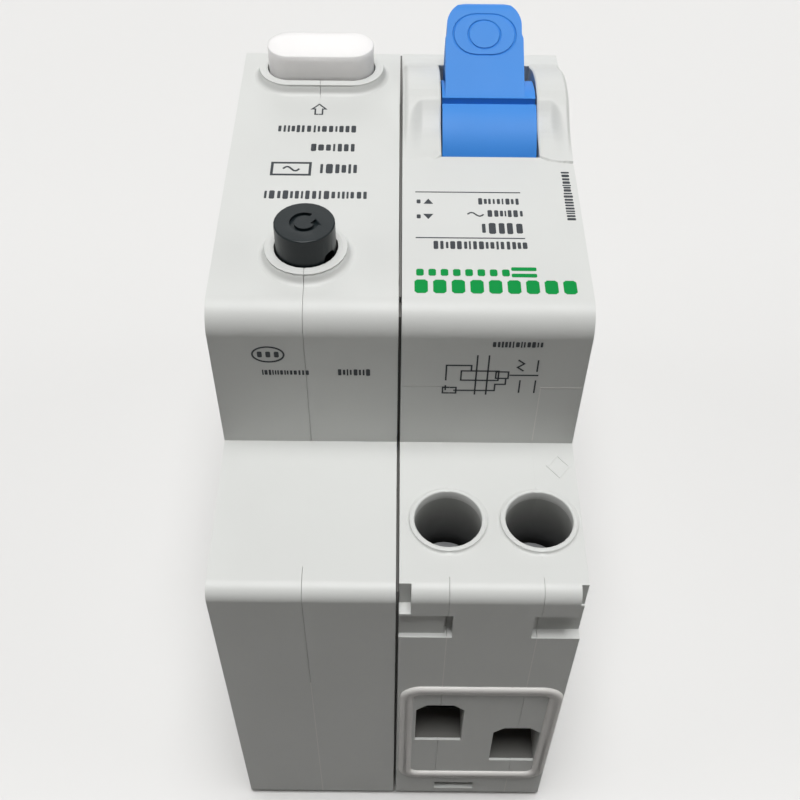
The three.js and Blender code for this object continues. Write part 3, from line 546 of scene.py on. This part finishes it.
def finish_casing():
    """The four shells and the middle body with rounded edges, and the hood."""
    for shell in ("breaker_left_shell", *VIGI_SHELLS):
        finish_shell(shell, bevelled(outline_of(shell), EDGE))
    # The outer notch runs on into the busbar slot.
    ledge = mesh_from(*block(*LEDGE), "ledge")
    right = carved(outline_of("breaker_right_shell"), ledge)
    finish_shell("breaker_right_shell", bevelled(right, EDGE))
    # The CAD hood is cut away just below the front face, where the finer hood takes its place.
    low = (HOOD_X[0] + POCKET_INSET, HOOD_Y[0] + POCKET_INSET, FACE - POCKET_DEPTH)
    high = (HOOD_X[1] + PAST, HOOD_Y[1] - POCKET_INSET, FACE + PAST)
    pocket = mesh_from(*block(low, high), "pocket")
    middle = bevelled(outline_of("breaker_middle_body"), EDGE)
    finish_shell("breaker_middle_body", carved(middle, pocket))
    add_hood()


# ---- Collars, ridges and seams --------------------------------------------------------------------

BUTTON_GAP = 0.17  # between a button and its collar
COLLAR_SEAM = 0.06  # width of the seam across a collar
# (outwards from the opening's edge, height above the front face)
BUTTON_COLLAR = (
    (0, -1.6), (0, 0.6), (0.03, 0.74), (0.11, 0.87), (0.24, 0.97), (0.42, 1.02), (0.6, 1.0),
    (0.76, 0.93), (0.89, 0.81), (0.99, 0.65), (1.06, 0.47), (1.13, 0.3), (1.23, 0.15), (1.38, 0.05),
    (1.6, -0.01), (1.6, -0.1), (0.5, -0.1), (0.3, -1.6),
)  # fmt: skip
TERMINALS = ("line_phase", "line_neutral", "load_phase", "load_neutral")
SCREW_AT = {name: centre_mm(name + "_screw") for name in TERMINALS}
SCREW_HOLE = 6.6
# (outwards from the hole's edge, height above the shoulder)
SCREW_COLLAR = (
    (0, -0.7), (0, 0.3), (0.04, 0.38), (0.12, 0.43), (0.26, 0.45), (0.38, 0.43), (0.46, 0.36),
    (0.5, 0.24), (0.54, 0.12), (0.64, 0.03), (0.8, -0.01), (0.8, -0.1), (0.012, -0.3),
    (0.012, -0.7),
)  # fmt: skip
# The same for the lining of the screw's well.
WELL = ((0, -9.6), (0, -0.7), (0.012, -0.7), (0.012, -9.6))
# The lining's painted shade is darkest below the first depth and lightest above the second.
WELL_DEPTHS = (7, 0.5)
WELL_PAINTED_SHADE_TONES = ((0.02, 0.021, 0.021), (0.4, 0.405, 0.39))
WELL_ROUGHNESS = 0.6
# (across the ridge, height above the end face)
RIDGE = (
    (-0.74, -0.05), (-0.74, 0), (-0.71, 0.16), (-0.62, 0.3), (-0.45, 0.37), (-0.2, 0.4),
    (0.2, 0.4), (0.45, 0.37), (0.62, 0.3), (0.71, 0.16), (0.74, 0), (0.74, -0.05),
)  # fmt: skip
FRAME_X = (1.15, 17.25)  # middle line of the ridge round the wire entries
FRAME_Z = (6.65, 28.55)
FRAME_CORNER = 1.65
FRAME_CORNER_STEPS = 8
ENTRY_FLOOR = {"phase": 16.1, "neutral": 10.6}
ENTRY_HALF = 2.64  # half of a wire entry's width
ENTRY_SPAN = (0.3, 4)  # where its floor of painted shade starts and ends, inwards from the end face
ENTRY_PLATE = (-0.1, 0.03)  # the underside and top of that painted-shade floor, from the CAD's floor
GAP_FOOT = 4.5  # height of the outline's lower edge
GAP_INSET = 1  # how far inside the modules' outline the dark band starts
GAP_BAND = 1.4  # and its width
GAP_HALF = 0.1  # half of its thickness
# Two corners of the dark strip, painted shade, that keeps the gap in the front face dark.
LIP = ((-GAP_HALF, -19.6, FACE - 0.9), (GAP_HALF, 21.4, FACE - 0.25))
SEAM_BEAD = 0.09  # width of what covers a moulding seam
CAP_Z = 55.95  # underside of the nose's full-width cap
SCREW_ROOM = 4.2  # from a screw's middle to the outside of its collar
SCREW_Y = SCREW_AT["line_phase"][1]
# (x, from, to) of each seam, upwards on the line end and along the casing on its upper faces
END_FLASH = (
    (INNER_SEAM, 29.3, 39.6), (OUTER_SEAM, 29.3, 39.6),
    (VIGI_SEAM, 0.8, 30), (OUTER_SEAM, 0.8, 5.9),
)  # fmt: skip
NOSE_FLASH = ((OUTER_SEAM, 47.9), (OUTER_SEAM, CAP_Z), (17.8, CAP_Z))
NOSE_SEAM = (INNER_SEAM, 47.6, CAP_Z)
FRONT_SEAM = (VIGI_SEAM, -9.4, 12.2)
SHOULDER_SEAMS = (
    (VIGI_SEAM, -38, -22.6),
    (INNER_SEAM, -39, SCREW_Y - SCREW_ROOM), (INNER_SEAM, SCREW_Y + SCREW_ROOM, -22.6),
    (OUTER_SEAM, -39, SCREW_Y - SCREW_ROOM), (OUTER_SEAM, SCREW_Y + SCREW_ROOM, -22.6),
)  # fmt: skip


def well_painted_shade_material():
    """Casing plastic with painted shade that darkens with depth, as in a deep narrow hole."""
    material, principled = shader("well_grey", WELL_ROUGHNESS)
    tree = material.node_tree
    coordinates = tree.nodes.new("ShaderNodeTexCoord")
    split = tree.nodes.new("ShaderNodeSeparateXYZ")
    tree.links.new(coordinates.outputs["Object"], split.inputs["Vector"])
    depth = tree.nodes.new("ShaderNodeMapRange")
    depth.inputs["From Min"].default_value = (SHOULDER - WELL_DEPTHS[0]) * MM
    depth.inputs["From Max"].default_value = (SHOULDER - WELL_DEPTHS[1]) * MM
    tree.links.new(split.outputs["Z"], depth.inputs["Value"])
    # Painted shade: near black at the depth, casing grey near the top.
    shade = ramp(tree, depth.outputs["Result"], *WELL_PAINTED_SHADE_TONES, at=(0, 1))
    tree.links.new(shade, principled.inputs["Base Color"])
    bump(tree, principled, noise(tree, GRAIN, detail=2), WELL_STRENGTH, GRAIN_DEPTH * MM)
    return material


def rounded_frame(side, grow, lift):
    """A loop round the wire entries of one end, on the line end's right or the load end's left."""
    middle_x, middle_z = sum(FRAME_X) / 2, sum(FRAME_Z) / 2
    half_x = (FRAME_X[1] - FRAME_X[0]) / 2 - FRAME_CORNER
    half_z = (FRAME_Z[1] - FRAME_Z[0]) / 2 - FRAME_CORNER
    radius = FRAME_CORNER + grow
    loop = []
    for turn, (sx, sz) in enumerate(((1, 1), (-1, 1), (-1, -1), (1, -1))):
        for i in range(FRAME_CORNER_STEPS + 1):
            angle = math.pi / 2 * (turn + i / FRAME_CORNER_STEPS)
            x = middle_x + sx * half_x + radius * math.cos(angle)
            z = middle_z + sz * half_z + radius * math.sin(angle)
            loop.append((-side * x, side * (END + lift), z))
    return loop


def add_frames():
    """The rounded ridge round the wire entries of each end."""
    for name, side in (("line", -1), ("load", 1)):
        loops = [rounded_frame(side, grow, lift) for grow, lift in RIDGE]
        mesh = mesh_from(*skin(loops, ring=True), name + "_entry_ridge")
        # The ridge is drawn in the lighter grey, a painted highlight.
        place(smoothed(mesh, angle=60), name + "_entry_ridge", CASING, material=PAINTED_HIGHLIGHT_GREY)


def add_entry_painted_shade():
    """A dark plate of painted shade on the floor of each wire entry, behind a lighter front edge."""
    plates = []
    for name, (x, y) in SCREW_AT.items():
        floor = ENTRY_FLOOR[name.split("_")[1]]
        low_y, high_y = sorted(math.copysign(END - inwards, y) for inwards in ENTRY_SPAN)
        low = (x - ENTRY_HALF, low_y, floor + ENTRY_PLATE[0])
        high = (x + ENTRY_HALF, high_y, floor + ENTRY_PLATE[1])
        plates.append(block(low, high))
    place(merged(plates, "entry_painted_shade_floors"), "entry_painted_shade_floors", CASING, material=PAINTED_SHADE_GREY)


def side_outline(inset):
    """The modules' outline seen from the side, drawn in by inset, as (y, z)."""
    end, nose = END - inset, NOSE_HALF - inset
    foot, shoulder, front = GAP_FOOT + inset, SHOULDER - inset, FACE - inset
    outline = [(-end, foot), (end, foot), (end, shoulder), (nose, shoulder), (nose, front)]
    return outline + [(-nose, front), (-nose, shoulder), (-end, shoulder)]


def add_gap_band():
    """A thin dark band between the modules, just inside their outline: painted shade that keeps the gap
    from showing the light behind it.
    """
    outer, inner = side_outline(GAP_INSET), side_outline(GAP_INSET + GAP_BAND)
    loops = []
    for line, x in ((outer, -GAP_HALF), (outer, GAP_HALF), (inner, GAP_HALF), (inner, -GAP_HALF)):
        loops.append([(x, y, z) for y, z in line])
    band = mesh_from(*skin(loops, ring=True), "module_gap_band")
    place(band, "module_gap_band", CASING, material=PAINTED_SHADE_GREY)
    lip = mesh_from(*block(*LIP), "module_gap_lip")
    place(lip, "module_gap_lip", CASING, material=PAINTED_SHADE_GREY)


def seam_line(face, x, start, end):
    """A thin line along a seam."""
    return stroke(face, [(x, start), (x, end)], SEAM_BEAD)


def add_seam_flash():
    """The fine flash that the mould leaves along the seams of the line end."""
    flash = [seam_line(end_face(END), *ends) for ends in END_FLASH]
    flash.append(stroke(end_face(NOSE_HALF), NOSE_FLASH, SEAM_BEAD))
    # The flash is drawn in the lighter grey, a painted highlight.
    place(merged(flash, "seam_flash"), "seam_flash", CASING, material=PAINTED_HIGHLIGHT_GREY)


def add_closed_seams():
    """Covers the seams that are too tight to see."""
    closed = [seam_line(level_face(SHOULDER), *ends) for ends in SHOULDER_SEAMS]
    closed.append(seam_line(level_face(FACE), *FRONT_SEAM))
    closed.append(seam_line(end_face(NOSE_HALF), *NOSE_SEAM))
    place(merged(closed, "closed_seams"), "closed_seams", CASING, "case_grey")


def add_button_collars():
    """The round-edged collars that the two buttons stand in."""
    profile = [(out + BUTTON_GAP, FACE + z) for out, z in BUTTON_COLLAR]
    for name, centre, length, width in (
        ("test_collar", TEST_CENTRE, TEST_LENGTH, TEST_WIDTH),
        ("reset_collar", RESET_CENTRE, RESET_SIZE, RESET_SIZE),
    ):
        collar(name, centre, length, width, profile, seam=centre[0])


def add_screw_wells():
    """Each terminal screw's collar, and the lining of its well, with painted shade."""
    well_grey = well_painted_shade_material()
    profile = [(out, SHOULDER + z) for out, z in SCREW_COLLAR]
    for name, centre in SCREW_AT.items():
        collar(name + "_screw_collar", centre, SCREW_HOLE, SCREW_HOLE, profile)
        loops = [stadium(centre, SCREW_HOLE, SCREW_HOLE, out, SHOULDER + z) for out, z in WELL]
        mesh = mesh_from(*skin(loops, ring=True), name + "_well")
        place(smoothed(mesh, angle=50), name + "_well", CASING, material=well_grey)


# ---- Toggle and buttons -----------------------------------------------------------------------------

LEVER_ROOT = (9.0, 8.85, 67.7)  # where the middle of the lever's front face leaves the drum
LEVER_SLOPE = math.atan2(4.78, 9.45)  # from its rise and its run
TOGGLE_ROUND = 0.22
GROOVE_AT = 7.6  # from the lever's root to the middle of both grooves
GROOVES = ((6.8, 5.0), (3.5, 3.5))  # length and width of each
GROOVE_R = 0.13
GROOVE_STEPS = 8
TEST_ROUND = 0.6
RESET_ROUND = 0.32
# The arrow sunk into the reset button, with its angles counted from the right.
SYMBOL_RADII = (0.95, 1.4)
SYMBOL_ARC = (60, 345)
SYMBOL_BASE = 344  # the arrow head's back, and then its tip
SYMBOL_TIP = 385
SYMBOL_BARB = 0.38  # how far the head is wider than the arc, on each side
SYMBOL_STEPS = 24
SYMBOL_DEPTH = 0.3
KEYWAY_ANGLE = -35  # round from the right
KEYWAY_WIDTH = 1.5
KEYWAY_FOOT = 1.5  # how far below the front face it starts
KEYWAY_TOP = 0.45  # its upper end, as a share of the button's height above the front face
# (share of its width, drop below its top) near the keyway's rounded upper end
KEYWAY_END = ((1, 0.5), (0.8, 0.15), (0.3, 0))
BRAID_SLIMMER = 0.08  # how much closer the flexible lead's surface is to its middle


def groove(length, width):
    """A cutter for a stadium-shaped groove in the lever's front face."""
    across = Vector((1, 0, 0))
    up = Vector((0, math.cos(LEVER_SLOPE), math.sin(LEVER_SLOPE)))
    out = across.cross(up)
    centre = Vector(LEVER_ROOT) + up * GROOVE_AT
    loops = []
    for turn in range(GROOVE_STEPS):
        angle = 2 * math.pi * turn / GROOVE_STEPS
        grow = GROOVE_R * math.cos(angle)
        lift = GROOVE_R * math.sin(angle)
        flat = stadium((0, 0), length, width, grow, 0, steps=12)
        loops.append([tuple(centre + across * u + up * v + out * lift) for u, v, _ in flat])
    return mesh_from(*skin(loops, ring=True), "groove")


def finish_toggle():
    toggle = bevelled(outline_of("toggle"), TOGGLE_ROUND, segments=3)
    for length, width in GROOVES:
        toggle = carved(toggle, groove(length, width))
    finish_node("toggle", "toggle", face_led(toggle, angle=40))


def round_reset(radius, angle):
    """The place at a radius and an angle, in radians, round the reset button's middle."""
    x, y = RESET_CENTRE
    return x + radius * math.cos(angle), y + radius * math.sin(angle)


def symbol_cutters():
    """Cutters for an arrow that runs round most of a circle: its arc and its head."""
    low, high = RESET_TOP - SYMBOL_DEPTH, RESET_TOP + PAST
    inner, outer = SYMBOL_RADII
    start, end = (math.radians(angle) for angle in SYMBOL_ARC)
    corners = ((inner, low), (outer, low), (outer, high), (inner, high))
    loops = []
    for i in range(SYMBOL_STEPS + 1):
        angle = start + (end - start) * i / SYMBOL_STEPS
        loops.append([(*round_reset(radius, angle), z) for radius, z in corners])
    arc = mesh_from(*skin(loops), "arc")
    base = math.radians(SYMBOL_BASE)
    outline = [round_reset((inner + outer) / 2, math.radians(SYMBOL_TIP))]
    outline += [round_reset(r, base) for r in (inner - SYMBOL_BARB, outer + SYMBOL_BARB)]
    head = mesh_from(*skin([[(x, y, z) for x, y in outline] for z in (low, high)]), "arrow_head")
    return arc, head


def keyway():
    """A cutter for the upright groove in the reset button's side."""
    centre = round_reset(RESET_SIZE / 2, math.radians(KEYWAY_ANGLE))
    top = FACE + KEYWAY_TOP * (RESET_TOP - FACE)
    sizes = [(1, FACE - KEYWAY_FOOT)] + [(share, top - drop) for share, drop in KEYWAY_END]
    loops = []
    for share, z in sizes:
        loops.append(stadium(centre, share * KEYWAY_WIDTH, share * KEYWAY_WIDTH, 0, z))
    return mesh_from(*skin(loops), "keyway")


def finish_test_button():
    test = bevelled(outline_of("test_button"), TEST_ROUND, segments=5)
    finish_node("test_button", "test_button", test)


def finish_reset_button():
    reset = bevelled(outline_of("reset_button"), RESET_ROUND, segments=4)
    for tool in (*symbol_cutters(), keyway()):
        reset = carved(reset, tool)
    finish_node("reset_button", "reset_button", face_led(reset, angle=40))


def finish_spring():
    """The reset button's spring, on a mesh of its own."""
    spring = smoothed(outline_of("reset_spring"), angle=50)
    piece = place(spring, "reset_spring_finished", CASING, SLOTS["reset_spring"])
    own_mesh(piece)
    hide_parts("reset_spring")


def finish_braid():
    """The flexible lead, a little slimmer than its outline and so clear of the trip lever."""
    braid = outline_of("phase_braid")
    slim = with_modifier(braid, "DISPLACE", strength=-BRAID_SLIMMER * MM, mid_level=0)
    finish_node("phase_braid", CASING, smoothed(slim, angle=50))


# ---- Printing ---------------------------------------------------------------------------------------

INK_LIFT = 0.02  # thickness of the printing above the surface
INK_ROOT = -0.02  # and how far it reaches into it
LINE = 0.16  # width of a thin printed line
MITRE = 0.4  # keeps the outer point of a sharp corner short
CUT_CORNER = 0.2  # of a bar, as a share of its shorter side
# A row's bars, as shares of its height: their widths, the gaps between them and their heights.
BAR_WIDTH = (0.14, 0.4)
LEAST_WIDTH = 0.1
BAR_GAP = (0.12, 0.2)
BAR_FILL = 0.8
BAR_TALL = (0.85, 1.15)
SEED = 7
WAVE_STEPS = 16
OVAL_STEPS = 28
OVAL_END = 345  # the last point of an oval, in degrees, from which a straight line closes it


class Face:
    """A flat face to print on: a point in millimetres and its two directions."""

    def __init__(self, origin, u, v):
        self.origin, self.u, self.v = Vector(origin), Vector(u), Vector(v)
        self.out = self.u.cross(self.v)

    def at(self, u, v, lift):
        return tuple(self.origin + self.u * u + self.v * v + self.out * lift)


def level_face(height):
    """A face that looks up, in the object's own x and y."""
    return Face((0, 0, height), (1, 0, 0), (0, 1, 0))


def end_face(reach):
    """A face that looks out at the line end, in the object's own x and z."""
    return Face((0, -reach, 0), (1, 0, 0), (0, 0, 1))


def slab(face, outline):
    """A thin printed area within an outline of (u, v)."""
    return skin([[face.at(u, v, lift) for u, v in outline] for lift in (INK_ROOT, INK_LIFT)])


def bar(face, u, v, width, height):
    """A printed bar with its corners taken off."""
    r = min(width, height) * CUT_CORNER
    u0, u1, v0, v1 = u - width / 2, u + width / 2, v - height / 2, v + height / 2
    outline = [
        (u0 + r, v0), (u1 - r, v0), (u1, v0 + r), (u1, v1 - r),
        (u1 - r, v1), (u0 + r, v1), (u0, v1 - r), (u0, v0 + r),
    ]  # fmt: skip
    return slab(face, outline)


def stroke(face, points, width=LINE, closed=False, thick=INK_LIFT):
    """A printed line through the points, with mitred corners."""
    points = [Vector(point) for point in points]
    loops = []
    for i, point in enumerate(points):
        before = points[i - 1] if i > 0 or closed else None
        after = points[(i + 1) % len(points)] if i < len(points) - 1 or closed else None
        ways = []
        if before is not None:
            ways.append((point - before).normalized())
        if after is not None:
            ways.append((after - point).normalized())
        way = sum(ways, Vector((0, 0))).normalized()
        side = Vector((-way.y, way.x))
        reach = width / 2 / max(MITRE, abs(side.dot(Vector((-ways[0].y, ways[0].x)))))
        left, right = point + side * reach, point - side * reach
        loops.append(
            [
                face.at(left.x, left.y, INK_ROOT),
                face.at(right.x, right.y, INK_ROOT),
                face.at(right.x, right.y, thick),
                face.at(left.x, left.y, thick),
            ]
        )
    return skin(loops, ring=closed)


def rows(face, rng, table):
    """Rows of short bars in place of small print, each from its (from, to), middle and height."""
    parts = []
    for (u, end), v, height in table:
        while u < end:
            width = min(rng.uniform(*BAR_WIDTH) * height, end - u)
            if width > LEAST_WIDTH * height:
                tall = height * BAR_FILL * rng.uniform(*BAR_TALL)
                parts.append(bar(face, u + width / 2, v, width, tall))
            u += width + height * rng.uniform(*BAR_GAP)
    return parts


def equal_bars(face, table):
    """Rows of equal bars, each from its first middle, spacing, count, height, and a bar's size."""
    parts = []
    for first, spacing, count, v, width, height in table:
        parts += [bar(face, first + spacing * i, v, width, height) for i in range(count)]
    return parts


def oval(u, v, half_width, half_height):
    """Points round an oval."""
    angles = [math.radians(OVAL_END * i / OVAL_STEPS) for i in range(OVAL_STEPS + 1)]
    return [(u + half_width * math.cos(a), v + half_height * math.sin(a)) for a in angles]


def rectangle(u, v, width, height):
    """Corners of a rectangle round its middle."""
    u0, u1, v0, v1 = u - width / 2, u + width / 2, v - height / 2, v + height / 2
    return [(u0, v0), (u1, v0), (u1, v1), (u0, v1)]


def wave(u, v, width, height):
    """Points of one period of a sine wave."""
    points = []
    for i in range(WAVE_STEPS + 1):
        share = i / WAVE_STEPS
        points.append((u + width * (share - 0.5), v + height / 2 * math.sin(2 * math.pi * share)))
    return points


# Layout of the printing. Lines are (points, width, whether they close).
VIGI_ROWS = (
    ((-13.2, -4.6), 6.4, 1.45), ((-9.5, -4.5), 3.05, 1.5),
    ((-8.35, -4.3), -0.6, 1.8), ((-13.8, -3.4), -4.95, 1.5),
)  # fmt: skip
ARROW = (
    (-9, 11), (-8.25, 10.1), (-8.6, 10.1), (-8.6, 9.1), (-9.4, 9.1), (-9.4, 10.1), (-9.75, 10.1),
)  # fmt: skip
VIGI_LINES = (
    (ARROW, 0.17, True),
    (rectangle(-11.375, -0.65, 3.95, 2), 0.28, True),
    (wave(-11.35, -0.65, 1.7, 0.7), 0.22, False),
)
BREAKER_ROWS = (
    ((7.8, 12.1), -5.75, 1.1), ((8.65, 12.15), -7.65, 1.15),
    ((8.0, 12.3), -9.95, 1.85), ((3.2, 12.3), -12.5, 1.3),
)  # fmt: skip
UPRIGHT_X = 16.95
UPRIGHT_ROWS = (((-8.6, -0.6), 0, 1.05),)
BREAKER_BARS = (
    (6.8, 0, 1, -4.31, 10.65, 0.14), (6.8, 0, 1, -11.43, 10.65, 0.14),
    (1.8, 0, 1, -5.85, 0.4, 0.6), (1.8, 0, 1, -8.2, 0.4, 0.6),
)  # fmt: skip
BREAKER_WAVE = wave(7.45, -7.8, 1.6, 0.55)
BREAKER_WAVE_LINE = 0.17
TRIANGLES = (
    ((2.3, -6.2), (3.25, -6.2), (2.78, -5.4)),
    ((2.75, -8.6), (3.25, -7.8), (2.25, -7.8)),
)
GREEN_BARS = (
    (1.95, 1.74, 9, -18.4, 1.25, 1.85), (1.85, 1.16, 8, -16.45, 0.72, 0.95),
    (11.7, 0, 1, -16.8, 2.4, 0.5), (11.7, 0, 1, -15.9, 2.4, 0.5),
)  # fmt: skip
END_ROWS = (
    ((8.7, 13.6), 61.85, 0.9), ((-13.2, -8.6), 57.8, 0.8), ((-5.9, -2.7), 57.9, 1.0),
)  # fmt: skip
SKETCH = (
    ((7.4, 60.4), (7.4, 54.9)),
    ((8.5, 60.4), (8.5, 54.9)),
    ((4.5, 56.9), (4.5, 59.0), (6.9, 59.0), (6.9, 58.3)),
    ((4.5, 56.2), (4.5, 55.5)),
    ((5.3, 55.5), (9.3, 55.5), (9.3, 56.4), (10.3, 56.4), (10.3, 57.2)),
    ((10.6, 57.7), (13.4, 57.7)),
    ((11.7, 57.0), (11.7, 55.2)),
    ((13.2, 57.0), (13.2, 55.2)),
    ((11.9, 58.3), (11.3, 58.8), (11.9, 59.3), (11.3, 59.8)),
    ((13.2, 58.2), (13.2, 59.8)),
)
SKETCH_BOXES = ((7.75, 57.6, 3.6, 1.3), (4.9, 55.5, 1.3, 0.8), (9.9, 57.7, 1.2, 0.9))
STAMP = oval(-12.45, 60.25, 1.5, 1.0)
STAMP_LINE = 0.18
STAMP_BARS = ((-13.25, 0.8, 3, 60.25, 0.45, 0.75),)
# The raised mark beside the neutral screw.
DIAMOND = ((15.2, -25.5), (16.3, -24.1), (17.4, -25.5), (16.3, -26.9))
DIAMOND_LINE = 0.24
DIAMOND_RISE = 0.07


def place_print(parts, name, ink):
    place(merged(parts, name), name, CASING, material=ink)


def add_vigi_printing(face, rng):
    parts = rows(face, rng, VIGI_ROWS)
    parts += [stroke(face, points, width, closed) for points, width, closed in VIGI_LINES]
    place_print(parts, "vigi_printing", INK)


def add_breaker_printing(face, rng):
    parts = rows(face, rng, BREAKER_ROWS)
    parts += rows(Face((UPRIGHT_X, 0, FACE), (0, 1, 0), (-1, 0, 0)), rng, UPRIGHT_ROWS)
    parts += equal_bars(face, BREAKER_BARS)
    parts.append(stroke(face, BREAKER_WAVE, BREAKER_WAVE_LINE))
    parts += [slab(face, corners) for corners in TRIANGLES]
    place_print(parts, "breaker_printing", INK)


def add_green_printing(face):
    place_print(equal_bars(face, GREEN_BARS), "green_printing", GREEN_INK)


def add_end_printing(face, rng):
    """A simple circuit sketch, small rows and an oval stamp on the line end of the nose."""
    parts = rows(face, rng, END_ROWS)
    parts += [stroke(face, line) for line in SKETCH]
    parts += [stroke(face, rectangle(*sizes), closed=True) for sizes in SKETCH_BOXES]
    parts.append(stroke(face, STAMP, STAMP_LINE, closed=True))
    parts += equal_bars(face, STAMP_BARS)
    place_print(parts, "end_printing", INK)


def add_printing():
    """All the printing. Its random widths come from one generator, so the order matters."""
    rng = random.Random(SEED)
    front = level_face(FACE)
    add_vigi_printing(front, rng)
    add_breaker_printing(front, rng)
    add_green_printing(front)
    add_end_printing(end_face(NOSE_HALF), rng)


def add_shoulder_mark():
    """A raised diamond beside the neutral screw."""
    mark = stroke(level_face(SHOULDER), DIAMOND, DIAMOND_LINE, closed=True, thick=DIAMOND_RISE)
    place(merged([mark], "neutral_mark"), "neutral_mark", CASING, "case_grey")


# ---- Studio ---------------------------------------------------------------------------------------

ROOM = 4  # metres from the part to the backdrop
FLOOR_TONES = ((0.62, 0.617, 0.61), (0.64, 0.637, 0.63))
FLOOR_ROUGHNESS = 0.75
FLOOR_MOTTLE = 3  # features per metre, as below
BACKDROP_TONES = ((0.81, 0.81, 0.8), (0.83, 0.83, 0.82))
BACKDROP_MOTTLE = 1
# (name, direction towards it, its width in degrees, power)
LIGHTS = (
    ("overhead", (0, -0.09, 1), 30, 3.35),
    ("right_fill", (1, 0, 0.4), 40, 0.6),
    ("left_fill", (-1, 0, 0.4), 40, 0.6),
    ("far_fill", (0, 1, 0.4), 40, 0.6),
)
WORLD_COLOUR = (1, 0.96, 0.89, 1)
WORLD_STRENGTH = 0.08
# The camera that was fitted to the photograph's straight edges.
CAMERA_AT = (-0.45, -94.66, 134.35)
CAMERA_TURN = (39.139, -0.328, 0.397)
SENSOR = 36
LENS = 49.06
LENS_SHIFT = (0.0075, 0.0661)
CLIP_START = 5


def add_floor():
    """A pale floor whose bounced light is left out, so that the upright faces stay in shade."""
    bpy.ops.mesh.primitive_plane_add(size=2 * ROOM, location=(0, 0, 0))
    floor = bpy.context.object
    floor.name = "floor"
    material, principled = shader("floor", FLOOR_ROUGHNESS)
    tree = material.node_tree
    pale = ramp(tree, noise(tree, FLOOR_MOTTLE), *FLOOR_TONES)
    tree.links.new(pale, principled.inputs["Base Color"])
    floor.data.materials.append(material)
    floor.visible_diffuse = False


def add_backdrop():
    """A pale dome behind everything, which lights nothing."""
    bpy.ops.mesh.primitive_uv_sphere_add(radius=ROOM)
    dome = bpy.context.object
    dome.name = "backdrop"
    material = bpy.data.materials.new("backdrop")
    material.use_nodes = True
    tree = material.node_tree
    glow = tree.nodes.new("ShaderNodeEmission")
    pale = ramp(tree, noise(tree, BACKDROP_MOTTLE), *BACKDROP_TONES)
    tree.links.new(pale, glow.inputs["Color"])
    tree.links.new(glow.outputs["Emission"], tree.nodes["Material Output"].inputs["Surface"])
    dome.data.materials.append(material)
    dome.visible_diffuse = False
    dome.visible_glossy = False
    dome.visible_shadow = False


def add_light(name, source, softness, power):
    """A broad soft light from far away."""
    data = bpy.data.lights.new(name, "SUN")
    data.angle = math.radians(softness)
    data.energy = power
    light = bpy.data.objects.new(name, data)
    light.rotation_euler = Vector(source).to_track_quat("Z", "Y").to_euler()
    bpy.context.scene.collection.objects.link(light)


def add_world():
    world = bpy.data.worlds.new("studio")
    world.use_nodes = True
    world.node_tree.nodes["Background"].inputs["Color"].default_value = WORLD_COLOUR
    world.node_tree.nodes["Background"].inputs["Strength"].default_value = WORLD_STRENGTH
    bpy.context.scene.world = world


def add_camera():
    data = bpy.data.cameras.new("camera")
    data.sensor_width = SENSOR
    data.lens = LENS
    data.shift_x, data.shift_y = LENS_SHIFT
    data.clip_start = CLIP_START * MM
    camera = bpy.data.objects.new("camera", data)
    camera.location = Vector(CAMERA_AT) * MM
    camera.rotation_euler = Euler([math.radians(angle) for angle in CAMERA_TURN])
    bpy.context.scene.collection.objects.link(camera)
    bpy.context.scene.camera = camera


def build_part():
    dress_frame()
    finish_casing()
    add_button_collars()
    add_screw_wells()
    add_frames()
    add_entry_painted_shade()
    add_gap_band()
    add_seam_flash()
    add_closed_seams()
    finish_toggle()
    finish_test_button()
    finish_reset_button()
    finish_spring()
    finish_braid()
    add_printing()
    add_shoulder_mark()


def build_studio():
    bpy.context.scene.view_settings.view_transform = "Standard"
    add_floor()
    add_backdrop()
    for light in LIGHTS:
        add_light(*light)
    add_world()
    add_camera()


build_part()
build_studio()
